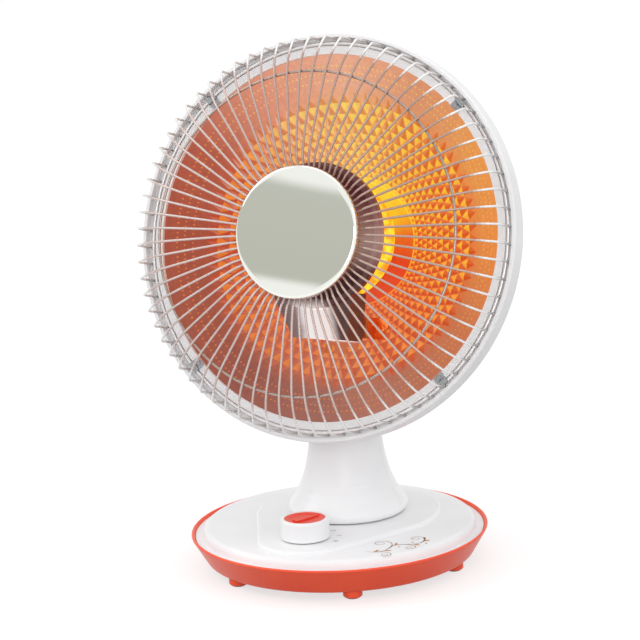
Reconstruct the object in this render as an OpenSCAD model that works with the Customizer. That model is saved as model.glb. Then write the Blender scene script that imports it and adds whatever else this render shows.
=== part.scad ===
// Table-top carbon heater: a tilting, swinging dish head with a wire guard on a round weighted base.
// Front is -Y, +Z is up, and the origin is on the floor under the middle of the base.

/* [Base] */
// Outer radius of the orange shell at its top edge
base_r = 126; // [122:1:140]
// Height of the shell's top edge above the floor
base_h = 30; // [27:0.5:34]
// Wall of the orange shell
shell_wall = 2.4; // [1.8:0.1:3]
// Clear height under the shell, which the feet make
foot_h = 7; // [6:0.5:10]
// Radius of one foot boss
foot_r = 8; // [6:0.5:9]
// Distance of the feet from the middle
foot_ring_r = 104; // [100:0.5:106]
// Number of feet and of base screws
foot_count = 6; // [4:1:8]
// Width of the shelf between the orange lip and the raised cover
shelf_w = 5.5; // [4:0.5:8]
// Height of the cover's flat top above the floor
cover_h = 35; // [34:0.5:38]
// Wall of the white cover
cover_wall = 2.2; // [1.8:0.1:2.6]
// Height of the raised pad round the neck and the knob
pad_h = 3.5; // [2.5:0.5:5]
// Radius of the pad round the neck
pad_neck_r = 79; // [70:1:84]
// Radius of the pad round the knob
pad_knob_r = 40; // [34:1:42]

/* [Knob] */
// Distance of the knob's axis inside the shell's top edge
knob_inset = 60; // [56:1:66]
// Radius of the knob
knob_r = 20.3; // [18:0.1:22]
// Height of the knob
knob_h = 16.5; // [14:0.5:20]
// Radius of the switch shaft
shaft_r = 3; // [2.5:0.1:3.5]

/* [Neck] */
// Distance of the neck behind the middle
neck_back = 20; // [14:1:24]
// Radius of the neck's foot at its lip
neck_foot_r = 51; // [46:0.5:56]
// Radius that the neck narrows towards
neck_waist_r = 28; // [26:0.5:32]
// Length over which the neck narrows
neck_curve = 28.5; // [24:0.5:34]
// Wall of the neck shells
neck_wall = 2.4; // [1.8:0.1:3]
// Height of the tilt bolt above the floor
pivot_h = 118; // [114:1:130]
// Radius of the tilt bolt
bolt_r = 3; // [2.5:0.1:3.5]
// Radius of the tilt lug and of the fork's ears
eye_r = 9; // [8:0.5:10]
// Thickness of the tilt lug
lug_w = 14; // [10:1:16]

/* [Head] */
// Outer radius of the head
head_r = 170; // [160:1:180]
// Angle by which the head looks up
head_tilt = 14.8; // [10:0.1:18]
// Depth of the rear housing behind the rim
bowl_depth = 98; // [94:1:106]
// Wall of the rear housing
bowl_wall = 2.4; // [1.8:0.1:3]
// Radius of the housing's curved side in section
bowl_curve_r = 150; // [140:1:170]
// Radius of the flat middle of the housing's back
bowl_flat_r = 60; // [52:1:66]
// Width of the rim between the head's outer edge and the reflector's visible edge
rim_w = 18; // [17:0.5:22]
// How much shallower the reflector is than the rear housing
back_space = 28; // [24:1:36]
// Thickness of the reflector's sheet
dish_t = 0.8; // [0.6:0.1:1]

/* [Guard] */
// Number of radial wires
wire_count = 72; // [48:8:88]
// Radius of a radial wire
wire_r = 1; // [0.8:0.05:1.2]
// Radius of the ring wires
ring_wire_r = 1.1; // [0.9:0.05:1.3]
// Height of the guard's shoulder in front of the rim
guard_h = 19.5; // [15:0.5:24]
// Radius of the middle ring
mid_ring_r = 133.6; // [128:0.2:140]
// Radius of the chrome cap
cap_r = 54.4; // [48:0.2:58]

/* [Element] */
// Radius of the ring-shaped tube's centre line
tube_ring_r = 45; // [40:0.5:48]
// Outer radius of the quartz tube
tube_r = 5.5; // [4.5:0.1:6]
// Wall of the quartz tube
tube_wall = 1; // [0.8:0.1:1.4]
// Distance of the tube's centre line behind the rim
tube_back = 30; // [26:0.5:34]
// Half the distance between the tube's straight ends
tube_end_x = 13; // [11:0.5:15]
// Radius of the round part of the heat shield
shield_r = 60.6; // [56:0.2:64]
// Distance of the shield's face in front of the rim
shield_front = 26; // [22:0.5:30]
// Thickness of the shield's sheet
sheet_t = 0.8; // [0.6:0.1:1]

/* [Fits] */
// Gap between pieces that are assembled but don't turn
gap = 0.3; // [0.2:0.05:0.4]
// Radial clearance of a shaft that turns
running = 0.06; // [0.03:0.01:0.1]
// Radial clearance of a screw in its hole
screw_gap = 0.1; // [0.05:0.05:0.2]

/* [Hidden] */
$fn = 96;

// Base heights
floor_z = foot_h + shell_wall;
ledge_z = base_h - 4.6;
shelf_z = ledge_z + cover_wall;
pad_z = cover_h + pad_h;
ledge_t = 2;
corner_r = 4;
flare = 11;
flare_angle = 30;
shell_bottom_r = base_r - flare;
flare_foot = [
    shell_bottom_r - corner_r * (1 - cos(flare_angle)),
    foot_h + corner_r * (1 - sin(flare_angle))
];
flare_top = [
    base_r - shell_wall / 2 * (1 - cos(flare_angle)),
    base_h - shell_wall / 2 * (1 + sin(flare_angle))
];
tray_fillet = 3;
cover_flange_r = base_r - shell_wall - 2.1;
cover_flange_lean = 1;
cover_wall_r = cover_flange_r - shelf_w;
cover_edge_r = 5;
plateau_r = cover_wall_r - cover_edge_r;
ledge_r = cover_wall_r - 2;
pad_edge_r = 2.5;
base_screw_ring_r = 98;
base_screw_r = 1.5;
base_screw_l = 16;
base_screw_head_r = 3;
base_screw_head_t = 1.8;
boss_r = 4;
boss_split_z = floor_z + 8.6;
foot_lift = 0.8;
foot_pad_r = foot_r - 2.5;
foot_pad_recess = 1.5;
foot_chamfer = 1.2;

// Ballast, motor and crank
ballast_r = 88;
ballast_t = 5;
ballast_top = floor_z + ballast_t;
ballast_screw_ring_r = 72;
ballast_screw_l = 6;
motor_r = 24.5;
motor_h = 14;
motor_back = 28;
crank_arm = 16;
crank_r = 19.5;
crank_t = 2.4;
crank_pin_r = 2;
crank_slot_gap = 1.1;
motor_y = neck_back + motor_back;
motor_z = floor_z + 0.4;
crank_z = motor_z + motor_h + 0.6;
motor_shaft_r = 2.5;
motor_shaft_l = 8;
motor_ear_x = 30;
motor_ear_t = 1.5;
motor_ear_z = floor_z + 6.6;
motor_screw_l = 7;

// Swivel
retainer_t = 2;
retainer_z = crank_z + crank_t + 0.5;
hub_bottom_z = retainer_z + retainer_t;
collar_z = hub_bottom_z + 0.3;
hub_r = 20;
hub_bore_r = 9;
collar_r = hub_r + 4;
retainer_r = hub_r + 6;
retainer_arm_w = 16;
retainer_arm_l = 52;
retainer_screw_ring_r = 14.5;
retainer_screw_step = 55;
retainer_screw_l = 8;
swivel_gap = 0.4;
plate_z = pad_z + swivel_gap;
plate_t = 3;
plate_top = plate_z + plate_t;
post_thread_floor = 3;

// Small parts in the base
gland_z = 16;
gland_y = side_r(gland_z);
gland_r = 5;
gland_bore_r = 3.25;
gland_flange_r = 6.5;
gland_flange_t = 2;
gland_nose = 4;
gland_lip_r = 5.6;
gland_lip_t = 1.4;
gland_play = 0.4;
terminal_size = [30, 16, 12];
terminal_at = [50, 10];
tip_switch_size = [26, 14, 12];
tip_switch_at = [-55, -30];

// Knob and switch
knob_y = knob_inset - base_r;
knob_gap = 0.8;
knob_z = pad_z + knob_gap;
knob_edge_r = 2.2;
knob_wall = 2.2;
knob_top = knob_z + knob_h;
insert_r = knob_r - 3.2;
insert_t = 2;
knob_recess = 2.6;
shaft_top = knob_top - knob_recess - 3;
bushing_r = 4.7;
nut_flats_r = 7.4;
nut_h = 2.2;
knob_hub_r = shaft_r + 3;
switch_w = 26;
switch_h = 15;
bushing_top = pad_z + nut_h + 1.4;
switch_top = pad_z - cover_wall;
shaft_bottom = switch_top - 8;
pointer_at = 60;
pointer_w = 6.4;

// Neck
neck_y = neck_back;
lip_r = 5.5;
lip_under = 60;
lip_turn = 38;
neck_bottom_z = pad_z + 0.8;
lip_c = [neck_foot_r - lip_r, neck_bottom_z + lip_r * sin(lip_under)];
neck_start = lip_c + lip_r * [cos(lip_turn), sin(lip_turn)];
neck_seam = 0.1;
plate_r = neck_foot_r - lip_r / 2 - neck_wall - gap;
neck_ledge_r = 40;
neck_ledge_t = 2;
neck_top_slope = 15;
neck_top_z = pivot_h - 1;
neck_end_z = neck_top_z + 14;
post_r = 11;
post_wall = 1.5;
post_flange_r = 22;
post_flange_t = 2;
washer_t = 0.8;
washer_r = 8;
ear_t = 3;
ear_x = lug_w / 2 + washer_t + 0.2;
fork_w = 2 * (ear_x + ear_t);
fork_base_t = 5;
post_top = pivot_h - eye_r - fork_base_t - 1.5;
bolt_head_r = 5.5;
bolt_head_t = 4;
nut_r = 5.8;
nut_t = 5;
neck_screw_at = [[26, 62], [19, 90]];
neck_screw_seat = 6;
neck_screw_l = 14;
neck_boss_r = 3.6;
neck_boss_l = 12;

// Head: the pivot lies on the neck's axis, and the rim's centre follows from it
housing_front_z = -14.3;
tongue_z = -8;
curve_start = [head_r - 2.5, housing_front_z - 1.7];
curve_end = [bowl_flat_r, -bowl_depth];
chord = norm(curve_start - curve_end);
chord_dir = (curve_start - curve_end) / chord;
curve_sag = sqrt(pow(bowl_curve_r, 2) - pow(chord / 2, 2));
curve_centre = (curve_start + curve_end) / 2 + curve_sag * [-chord_dir.y, chord_dir.x];
curve_a0 = atan2(curve_end.y - curve_centre.y, curve_end.x - curve_centre.x);
curve_a1 = atan2(curve_start.y - curve_centre.y, curve_start.x - curve_centre.x);
pivot_angle = -44.2;
pivot_clear = 13.6;
lug_root_w = 30;
vent_count = 24;
vent_r = 40;
vent_l = 20;
vent_w = 3;
pivot_local = curve_centre + (bowl_curve_r + pivot_clear) * [cos(pivot_angle), sin(pivot_angle)];
head_y = neck_y + pivot_local.x * sin(head_tilt) + pivot_local.y * cos(head_tilt);
head_z = pivot_h + pivot_local.x * cos(head_tilt) - pivot_local.y * sin(head_tilt);

// Rim: the front ring holds the reflector's flange and the guard's rear ring
dish_r = head_r - rim_w;
dish_depth = bowl_depth - back_space;
rim_front_z = 3;
lip_w = 3.5;
seat_z = -3.5;
seat_outer_r = head_r - lip_w;
seat_inner_r = head_r - 10.4;
annulus_z = -1.5;
annulus_t = 3.2;
annulus_inner_r = dish_r + 1;
skirt_r = head_r - 3;
skirt_back_z = -14;
ring_round = 1.5;
dish_flange_z = annulus_z - annulus_t - gap;
dish_flange_r = dish_r + 6.8;
rib_r = dish_flange_r - 2.6;
rib_t = 2;
clip_r = dish_r + 3.6;
clip_boss_r = 3.4;
clip_screw_r = 1.4;
clip_screw_head_r = 2.1;
clip_screw_head_t = 1.6;
clip_count = 4;
clip_w = 9;
clip_t = 1;
clip_screw_l = 14;
dish_flat_r = 14;
dish_apex_front = dish_flange_z - dish_depth * (1 - pow(dish_flat_r / dish_r, 2));

// Guard
ring_leg_r = head_r - 5.7;
rear_ring_r = ring_leg_r - wire_r - 1.6 + 0.1;
rear_wire_r = 1.6;
corner_bend = 6.5;
shoulder_bend = 62.4;
shoulder_angle = 42;
top_slope = 8.1;
top_angle = 90 - top_slope;
leg_bottom_z = seat_z + 0.9;
corner_c = [ring_leg_r - corner_bend, guard_h];
shoulder_c = corner_c + (corner_bend - shoulder_bend) * [cos(shoulder_angle), sin(shoulder_angle)];
dome_end = shoulder_c + shoulder_bend * [cos(top_angle), sin(top_angle)];
joggle_r = cap_r + 9.6;
joggle_drop = 4.8;
dome_start = [joggle_r, dome_end.y + (dome_end.x - joggle_r) * tan(top_slope)];
cap_wire = [cap_r + 1.6, dome_start.y - joggle_drop];
wire_inner_r = cap_r - 5;
hub_ring_r = cap_r - 3.9;
cap_back_z = cap_wire.y + wire_r;
cap_face_z = cap_back_z + 9.2;
cap_t = 0.8;
cap_crown = 1.6;
cap_edge_r = 3;
backing_t = 1.2;
backing_z = cap_wire.y - wire_r - 2 * ring_wire_r - backing_t;
cap_boss_r = 5;
cap_screw_r = 2;
cap_screw_l = 10;
mid_ring_a = acos((mid_ring_r - shoulder_c.x) / shoulder_bend);
mid_ring_c = shoulder_c + (shoulder_bend - wire_r - ring_wire_r + 0.1) * [cos(mid_ring_a), sin(mid_ring_a)];
wire_sides = 6;
wire_path = concat(
    [[ring_leg_r, leg_bottom_z]],
    arc(corner_c, corner_bend, 0, shoulder_angle, 2),
    [for (i = [1:3]) arc(shoulder_c, shoulder_bend, shoulder_angle, mid_ring_a, 3)[i]],
    [dome_end, dome_start, cap_wire, [wire_inner_r, cap_wire.y]]);

// Element
bend_r = 12;
bend_y = sqrt(pow(tube_ring_r + bend_r, 2) - pow(tube_end_x + bend_r, 2));
join_a = atan2(tube_end_x + bend_r, bend_y);
tube_z = -tube_back;
end_y = 74;
filament_r = 1.9;
filament_sides = 6;
tube_sides = 10;
tube_bend_c = [tube_end_x + bend_r, -bend_y];
tube_path = concat(
    [[tube_end_x, -end_y]],
    arc(tube_bend_c, bend_r, 180, 90 + join_a, 4),
    [for (i = [1:28]) arc([0, 0], tube_ring_r, join_a - 90, 270 - join_a, 28)[i]],
    [for (i = [1:4]) arc([-tube_bend_c.x, tube_bend_c.y], bend_r, 90 - join_a, 0, 4)[i]],
    [[-tube_end_x, -end_y]]);
holder_r = 8.5;
holder_l = 16;
holder_y = 64;
holder_deep = 10.4;
bracket_t = 1.2;
bracket_z = tube_z - holder_r;
bracket_y = holder_y + holder_l / 2;
bracket_w = 56;
bracket_d = 18;
foot_l = 11;
foot_gap = 0.05;
rivet_r = 1.6;
rivet_head_r = 3;
lead_r = 1.4;
lead_hole_r = 2.4;
lead_y = end_y + lead_r;
lead_bottom_z = dish_apex_front - 12;
pan_rim_z = 14;
pan_edge_r = 5;
pan_crown = 1.5;
hood_top = [45, 20];
hood_end = [84, -5];
hood_half_w = [37, 25];
hood_d = 30;
strap_w = 30;
cutout_r = 8;
cutout_h = 7;
cutout_flange_r = 11;
rivet_at = [
    [8, -hood_end[0] - 7], [-8, -hood_end[0] - 7],
    [bracket_w / 2 + 6, -bracket_y], [-bracket_w / 2 - 6, -bracket_y]
];

function unit(v) = v / norm(v);
// Radius of the shell's flared side at a height
function side_r(z) =
    flare_foot.x + (z - flare_foot.y) * (flare_top.x - flare_foot.x) / (flare_top.y - flare_foot.y);

// Rings of points round a path in the XZ plane, mitred, with a corner of each ring in that plane
function mitred(path, r, sides) =
    let (last = len(path) - 1)
    [for (i = [0:last])
        let (into = unit(path[max(i, 1)] - path[max(i, 1) - 1]),
             out = unit(path[min(i, last - 1) + 1] - path[min(i, last - 1)]),
             along = unit(into + out),
             side = [-along.y, along.x] / (along * out))
        for (k = [0:sides - 1])
            let (a = 360 * k / sides, p = path[i] + side * r * cos(a))
            [p.x, r * sin(a), p.y]];

// Faces between those rings
function skin(spans, sides, first = 0) =
    [for (i = [0:spans - 1]) for (k = [0:sides - 1])
        let (a = first + i * sides + k, b = first + i * sides + (k + 1) % sides)
        [a, a + sides, b + sides, b]];

function arc(c, r, a0, a1, n = 8) =
    [for (i = [0:n]) c + r * [cos(a0 + (a1 - a0) * i / n), sin(a0 + (a1 - a0) * i / n)]];
function curve_pts(inset, n = 10) = arc(curve_centre, bowl_curve_r - inset, curve_a0, curve_a1, n);
function dish_front(r) = dish_flange_z - dish_depth * (1 - pow(max(r, dish_flat_r) / dish_r, 2));
function dish_pts(z, n = 14) =
    [for (i = [0:n]) let (r = dish_flat_r + (dish_r - dish_flat_r) * i / n) [r, dish_front(r) + z]];
function neck_at(z) = neck_waist_r + (neck_start.x - neck_waist_r) * exp(-(z - neck_start.y) / neck_curve);

// Puts a part that is drawn with +Z out of the rim into the tilted head
module in_head() {
    translate([0, head_y, head_z])
        rotate([90 - head_tilt, 0, 0])
            children();
}

module at_neck() {
    translate([0, neck_y, 0])
        children();
}

module ring_of(count, r, first = 0) {
    for (i = [0:count - 1])
        rotate([0, 0, first + 360 * i / count])
            translate([r, 0, 0])
                children();
}

module revolve(points) {
    rotate_extrude()
        polygon(points);
}

module disc(r, z0, z1) {
    translate([0, 0, z0])
        cylinder(r = r, h = z1 - z0);
}

module tube(r, bore, z0, z1) {
    difference() {
        disc(r, z0, z1);
        disc(bore, z0 - 1, z1 + 1);
    }
}

// Torus, or a part of one, in the plane z
module ring(ring_r, wire, z = 0, span = 360) {
    translate([0, 0, z])
        rotate_extrude(angle = span)
            translate([ring_r, 0])
                circle(r = wire, $fn = 24);
}

// Screw with its axis along Z: the shank goes down from the head's seat at z = 0
module screw(r, length, head_r, head_t) {
    revolve([[0, -length], [r, -length], [r, 0], [head_r, 0], [head_r, head_t / 2],
             [head_r * 0.7, head_t], [0, head_t]]);
}

module base_screw_places() {
    ring_of(foot_count, base_screw_ring_r, 180 / foot_count)
        children();
}

module ballast_screw_places() {
    ring_of(3, ballast_screw_ring_r, 30)
        children();
}

module motor_ear_places() {
    for (side = [-1, 1])
        translate([side * motor_ear_x, motor_y, 0])
            children();
}

// Solid bar along a path in the XZ plane
module swept(path, r, sides) {
    last = len(path) - 1;
    polyhedron(
        mitred(path, r, sides),
        concat(
            [[for (k = [0:sides - 1]) k]],
            skin(last, sides),
            [[for (k = [sides - 1:-1:0]) last * sides + k]]),
        convexity = 4);
}

// Puts a part on the sloped back wall of the shell, with +Z out of the wall
module at_gland() {
    translate([0, gland_y, gland_z])
        rotate([-90 - flare_angle, 0, 0])
            children();
}

// Orange tray with a flared side, foot bosses and a ledge for the cover
module base_shell() {
    inner_shift = shell_wall / cos(flare_angle);
    tray_r = side_r(floor_z + tray_fillet) - inner_shift;
    color("#e2573d")
        difference() {
            union() {
                revolve(concat(
                    [[0, foot_h]],
                    arc([shell_bottom_r - corner_r, foot_h + corner_r], corner_r, -90, -flare_angle, 5),
                    arc([base_r - shell_wall / 2, base_h - shell_wall / 2], shell_wall / 2,
                        -flare_angle, 180, 7),
                    [[cover_flange_r + gap, ledge_z], [ledge_r, ledge_z], [ledge_r, ledge_z - ledge_t],
                     [side_r(ledge_z - ledge_t) - inner_shift, ledge_z - ledge_t],
                     [tray_r, floor_z + tray_fillet], [tray_r - tray_fillet, floor_z], [0, floor_z]]));
                ring_of(foot_count, foot_ring_r)
                    revolve([[0, foot_lift], [foot_r - foot_chamfer, foot_lift],
                             [foot_r, foot_lift + foot_chamfer], [foot_r, foot_h + 1], [0, foot_h + 1]]);
                base_screw_places()
                    disc(boss_r, foot_h + 1, boss_split_z);
                motor_ear_places()
                    disc(boss_r, floor_z - 1, motor_ear_z);
            }
            ring_of(foot_count, foot_ring_r)
                disc(foot_pad_r, -1, foot_lift + foot_pad_recess);
            base_screw_places()
                disc(base_screw_r + screw_gap, 0, boss_split_z + 1);
            ballast_screw_places()
                disc(base_screw_r + screw_gap, 0, ballast_top);
            motor_ear_places()
                disc(base_screw_r + screw_gap, motor_ear_z - motor_screw_l, motor_ear_z + 1);
            at_gland()
                disc(gland_r + screw_gap, -10, 10);
        }
}

module foot_pads() {
    color("#3a3a3c")
        ring_of(foot_count, foot_ring_r)
            disc(foot_pad_r - screw_gap, 0, foot_lift + foot_pad_recess);
}

// Steel weight with cut-outs for the motor and its posts
module ballast_plate() {
    color("#7d8084")
        difference() {
            disc(ballast_r, floor_z, ballast_top);
            translate([0, motor_y, 0])
                disc(motor_r + 2, 0, ballast_top + 1);
            motor_ear_places()
                disc(boss_r + 1, 0, ballast_top + 1);
            ballast_screw_places()
                disc(base_screw_r + screw_gap, 0, ballast_top + 1);
        }
}

module ballast_screws() {
    color("#b9bcc0")
        ballast_screw_places()
            translate([0, 0, foot_h])
                mirror([0, 0, 1])
                    screw(base_screw_r, ballast_screw_l, base_screw_head_r, base_screw_head_t);
}

module base_screws() {
    color("#b9bcc0")
        base_screw_places()
            translate([0, 0, foot_h])
                mirror([0, 0, 1])
                    screw(base_screw_r, base_screw_l, base_screw_head_r, base_screw_head_t);
}

// Outline of the pad: two round ends joined by straight sides, "inset" inside the full size
function pad_outline(inset) =
    let (lean = asin((pad_neck_r - pad_knob_r) / (neck_y - knob_y)))
    concat(arc([0, neck_y], pad_neck_r - inset, -lean, 180 + lean, 48),
           arc([0, knob_y], pad_knob_r - inset, 180 + lean, 360 - lean, 28));

// Raised solid round the neck and the knob, with a rounded upper edge
module pad_solid(z0) {
    rim = concat([[0, z0]], arc([pad_edge_r, pad_z - pad_edge_r], pad_edge_r, 180, 90, 5));
    layers = [for (p = rim) [for (q = pad_outline(p.x)) [q.x, q.y, p.y]]];
    count = len(layers[0]);
    polyhedron(
        [for (layer = layers) for (p = layer) p],
        concat(
            [[for (i = [0:count - 1]) i]],
            [for (k = [0:len(rim) - 2]) for (i = [0:count - 1])
                [k * count + i, (k + 1) * count + i,
                 (k + 1) * count + (i + 1) % count, k * count + (i + 1) % count]],
            [[for (i = [count - 1:-1:0]) (len(rim) - 1) * count + i]]),
        convexity = 4);
}

module cover_outside() {
    revolve(concat(
        [[0, ledge_z], [cover_flange_r, ledge_z], [cover_flange_r + cover_flange_lean, shelf_z],
         [cover_wall_r, shelf_z]],
        arc([plateau_r, cover_h - cover_edge_r], cover_edge_r, 0, 90, 6),
        [[0, cover_h]]));
    pad_solid(cover_h - 1);
}

module cover_inside() {
    revolve(concat(
        [[0, ledge_z - 1], [cover_wall_r - cover_wall, ledge_z - 1]],
        arc([plateau_r, cover_h - cover_edge_r], cover_edge_r - cover_wall, 0, 90, 4),
        [[0, cover_h - cover_wall]]));
    translate([0, 0, cover_h - cover_wall - 1])
        linear_extrude(pad_z - cover_h + 1)
            polygon(pad_outline(cover_wall));
}

// White cover with the raised pad, the collar for the neck and the screw bosses
module base_cover() {
    color("#ece9e6")
        difference() {
            union() {
                difference() {
                    cover_outside();
                    cover_inside();
                }
                at_neck()
                    disc(collar_r, collar_z, pad_z - 1);
                intersection() {
                    cover_outside();
                    base_screw_places()
                        disc(boss_r, boss_split_z, pad_z);
                }
                base_screw_places()
                    disc(boss_r, boss_split_z, cover_h - cover_wall - 1);
            }
            at_neck()
                disc(hub_r + running, collar_z - 1, pad_z + 1);
            translate([0, knob_y, 0])
                disc(bushing_r + screw_gap, cover_h - 5, pad_z + 1);
            base_screw_places()
                disc(base_screw_r + screw_gap, boss_split_z - 1, foot_h + base_screw_l + 1);
        }
}

module cord_gland() {
    lip_z = shell_wall + gland_play;
    color("#3a3a3c")
        at_gland()
            difference() {
                union() {
                    disc(gland_r, -lip_z - gland_lip_t, gland_flange_t);
                    disc(gland_lip_r, -lip_z - gland_lip_t, -lip_z);
                    disc(gland_flange_r, gap, gland_flange_t);
                    disc(gland_r - 0.6, 1, gland_nose);
                }
                disc(gland_bore_r, -10, 10);
            }
}

module terminal_block() {
    color("#e6e2d8")
        translate([terminal_at.x, terminal_at.y, ballast_top])
            difference() {
                translate([-terminal_size.x / 2, -terminal_size.y / 2, 0])
                    cube(terminal_size);
                for (x = [-10, 0, 10])
                    for (y = [-4, 4])
                        translate([x, y, 0])
                            disc(2, terminal_size.z / 2, terminal_size.z + 1);
            }
}

module tip_over_switch() {
    color("#2f2f31")
        translate([tip_switch_at.x, tip_switch_at.y, ballast_top])
            translate([-tip_switch_size.x / 2, -tip_switch_size.y / 2, 0])
                cube(tip_switch_size);
}

module rotary_switch() {
    color("#2f2f31")
        translate([0, knob_y, 0])
            difference() {
                union() {
                    translate([-switch_w / 2, -switch_w / 2, switch_top - switch_h])
                        cube([switch_w, switch_w, switch_h]);
                    disc(bushing_r, switch_top - 1, bushing_top);
                    for (x = [-8, 0, 8])
                        translate([x - 2, -0.5, switch_top - switch_h - 5])
                            cube([4, 1, 6]);
                }
                disc(shaft_r + running, shaft_bottom - gap, bushing_top + 1);
            }
}

module switch_nut() {
    color("#b9bcc0")
        translate([0, knob_y, pad_z])
            difference() {
                cylinder(r = nut_flats_r, h = nut_h, $fn = 6);
                disc(bushing_r + screw_gap, -1, nut_h + 1);
            }
}

module switch_shaft() {
    color("#b9bcc0")
        translate([0, knob_y, 0])
            disc(shaft_r, shaft_bottom, shaft_top);
}

module knob() {
    skirt_top = knob_top - knob_recess - knob_wall;
    color("#ece9e6")
        translate([0, knob_y, 0])
            difference() {
                revolve(concat(
                    [[0, knob_z], [knob_r - 0.5, knob_z], [knob_r, knob_z + 0.5]],
                    arc([knob_r - knob_edge_r, knob_top - knob_edge_r], knob_edge_r, 0, 90, 5),
                    [[0, knob_top]]));
                disc(insert_r + screw_gap, knob_top - knob_recess, knob_top + 1);
                tube(knob_r - knob_wall, knob_hub_r, knob_z - 1, skirt_top);
                disc(knob_hub_r + 1, knob_z - 1, bushing_top + 0.5);
                disc(shaft_r + screw_gap, knob_z, shaft_top + gap);
            }
}

// Dished disc with a pointer, set in the knob's top
module knob_insert() {
    bottom = knob_top - knob_recess;
    color("#e2573d")
        translate([0, knob_y, bottom])
            union() {
                revolve([[0, 0], [insert_r, 0], [insert_r, insert_t], [insert_r - 1.5, insert_t],
                         [insert_r - 5, 1], [0, 0.8]]);
                rotate([0, 0, pointer_at])
                    linear_extrude(insert_t + 0.3)
                        polygon([[insert_r - 1, 0], [-insert_r * 0.6, pointer_w / 2],
                                 [-insert_r * 0.6, -pointer_w / 2]]);
            }
}

module swing_motor() {
    color("#a9acb0")
        difference() {
            union() {
                translate([0, motor_y, 0]) {
                    disc(motor_r, motor_z, motor_z + motor_h);
                    disc(2 * motor_shaft_r, motor_z + motor_h - 1, crank_z - 0.2);
                    translate([-motor_ear_x, -boss_r, motor_ear_z])
                        cube([2 * motor_ear_x, 2 * boss_r, motor_ear_t]);
                }
                motor_ear_places()
                    disc(boss_r, motor_ear_z, motor_ear_z + motor_ear_t);
            }
            translate([0, motor_y, 0])
                disc(motor_shaft_r + running, crank_z - motor_shaft_l - gap, crank_z + 1);
            motor_ear_places()
                disc(base_screw_r + screw_gap, motor_ear_z - 1, motor_ear_z + motor_ear_t + 1);
        }
}

module motor_screws() {
    color("#b9bcc0")
        motor_ear_places()
            translate([0, 0, motor_ear_z + motor_ear_t])
                screw(base_screw_r, motor_screw_l, base_screw_head_r, base_screw_head_t);
}

// Disc on the motor's shaft; its pin drives the slotted arm of the retainer
module swing_crank() {
    color("#d8d5cc")
        translate([0, motor_y, 0])
            union() {
                disc(crank_r, crank_z, crank_z + crank_t);
                disc(motor_shaft_r, crank_z - motor_shaft_l, crank_z + 1);
                translate([0, crank_arm, 0])
                    disc(crank_pin_r, crank_z + 1, retainer_z + retainer_t + 0.6);
            }
}

module retainer_screw_places() {
    at_neck()
        for (i = [-1:1])
            rotate([0, 0, -90 + i * retainer_screw_step])
                translate([retainer_screw_ring_r, 0, 0])
                    children();
}

module post_screw_places() {
    at_neck()
        ring_of(3, post_flange_r - 5, 90)
            children();
}

// Turning plate that carries the neck, with a hub in the cover's collar
module swivel_plate() {
    color("#9b9ea3")
        difference() {
            at_neck()
                union() {
                    disc(plate_r, plate_z, plate_top);
                    disc(hub_r, hub_bottom_z, plate_top);
                }
            at_neck()
                disc(hub_bore_r, 0, plate_top + 1);
            retainer_screw_places()
                disc(base_screw_r + screw_gap, 0, hub_bottom_z + retainer_screw_l);
            post_screw_places()
                disc(base_screw_r + screw_gap, hub_bottom_z + post_thread_floor, plate_top + 1);
        }
}

// Ring under the hub that keeps the neck in the cover; its slotted arm follows the crank
module swivel_retainer() {
    slot_r = crank_pin_r + crank_slot_gap;
    near = sqrt(pow(motor_back, 2) + pow(crank_arm, 2)) - 1;
    far = motor_back + crank_arm;
    color("#b9bcc0")
        difference() {
            at_neck()
                union() {
                    disc(retainer_r, retainer_z, retainer_z + retainer_t);
                    translate([-retainer_arm_w / 2, 0, retainer_z])
                        cube([retainer_arm_w, retainer_arm_l - retainer_arm_w / 2, retainer_t]);
                    translate([0, retainer_arm_l - retainer_arm_w / 2, 0])
                        disc(retainer_arm_w / 2, retainer_z, retainer_z + retainer_t);
                }
            at_neck() {
                disc(hub_bore_r, 0, plate_top);
                translate([-slot_r, near, 0])
                    cube([2 * slot_r, far - near, plate_z]);
                for (y = [near, far])
                    translate([0, y, 0])
                        disc(slot_r, 0, plate_z);
            }
            retainer_screw_places()
                disc(base_screw_r + screw_gap, 0, plate_z);
        }
}

module retainer_screws() {
    color("#b9bcc0")
        retainer_screw_places()
            translate([0, 0, retainer_z])
                mirror([0, 0, 1])
                    screw(base_screw_r, retainer_screw_l, base_screw_head_r, base_screw_head_t);
}

// Steel post with a fork for the tilt bolt
module neck_post() {
    fork_z = post_top;
    color("#7d8084")
        difference() {
            union() {
                at_neck() {
                    disc(post_r, plate_top, fork_z + 1);
                    disc(post_flange_r, plate_top, plate_top + post_flange_t);
                    translate([-fork_w / 2, -eye_r, fork_z])
                        cube([fork_w, 2 * eye_r, fork_base_t]);
                }
                for (x = [-ear_x - ear_t, ear_x])
                    translate([x, neck_y, 0]) {
                        translate([0, -eye_r, fork_z])
                            cube([ear_t, 2 * eye_r, pivot_h - fork_z]);
                        translate([0, 0, pivot_h])
                            rotate([0, 90, 0])
                                cylinder(r = eye_r, h = ear_t);
                    }
            }
            at_neck() {
                disc(post_r - post_wall, plate_top - 1, fork_z - 1);
                disc(post_r / 2, plate_top - 1, fork_z + fork_base_t + 1);
            }
            translate([-fork_w, neck_y, pivot_h])
                rotate([0, 90, 0])
                    cylinder(r = bolt_r + screw_gap, h = 2 * fork_w);
            post_screw_places()
                disc(base_screw_r + screw_gap, plate_top - 1, plate_top + post_flange_t + 1);
        }
}

module post_screws() {
    color("#b9bcc0")
        post_screw_places()
            translate([0, 0, plate_top + post_flange_t])
                screw(base_screw_r, plate_t + 2, base_screw_head_r, base_screw_head_t);
}

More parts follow.
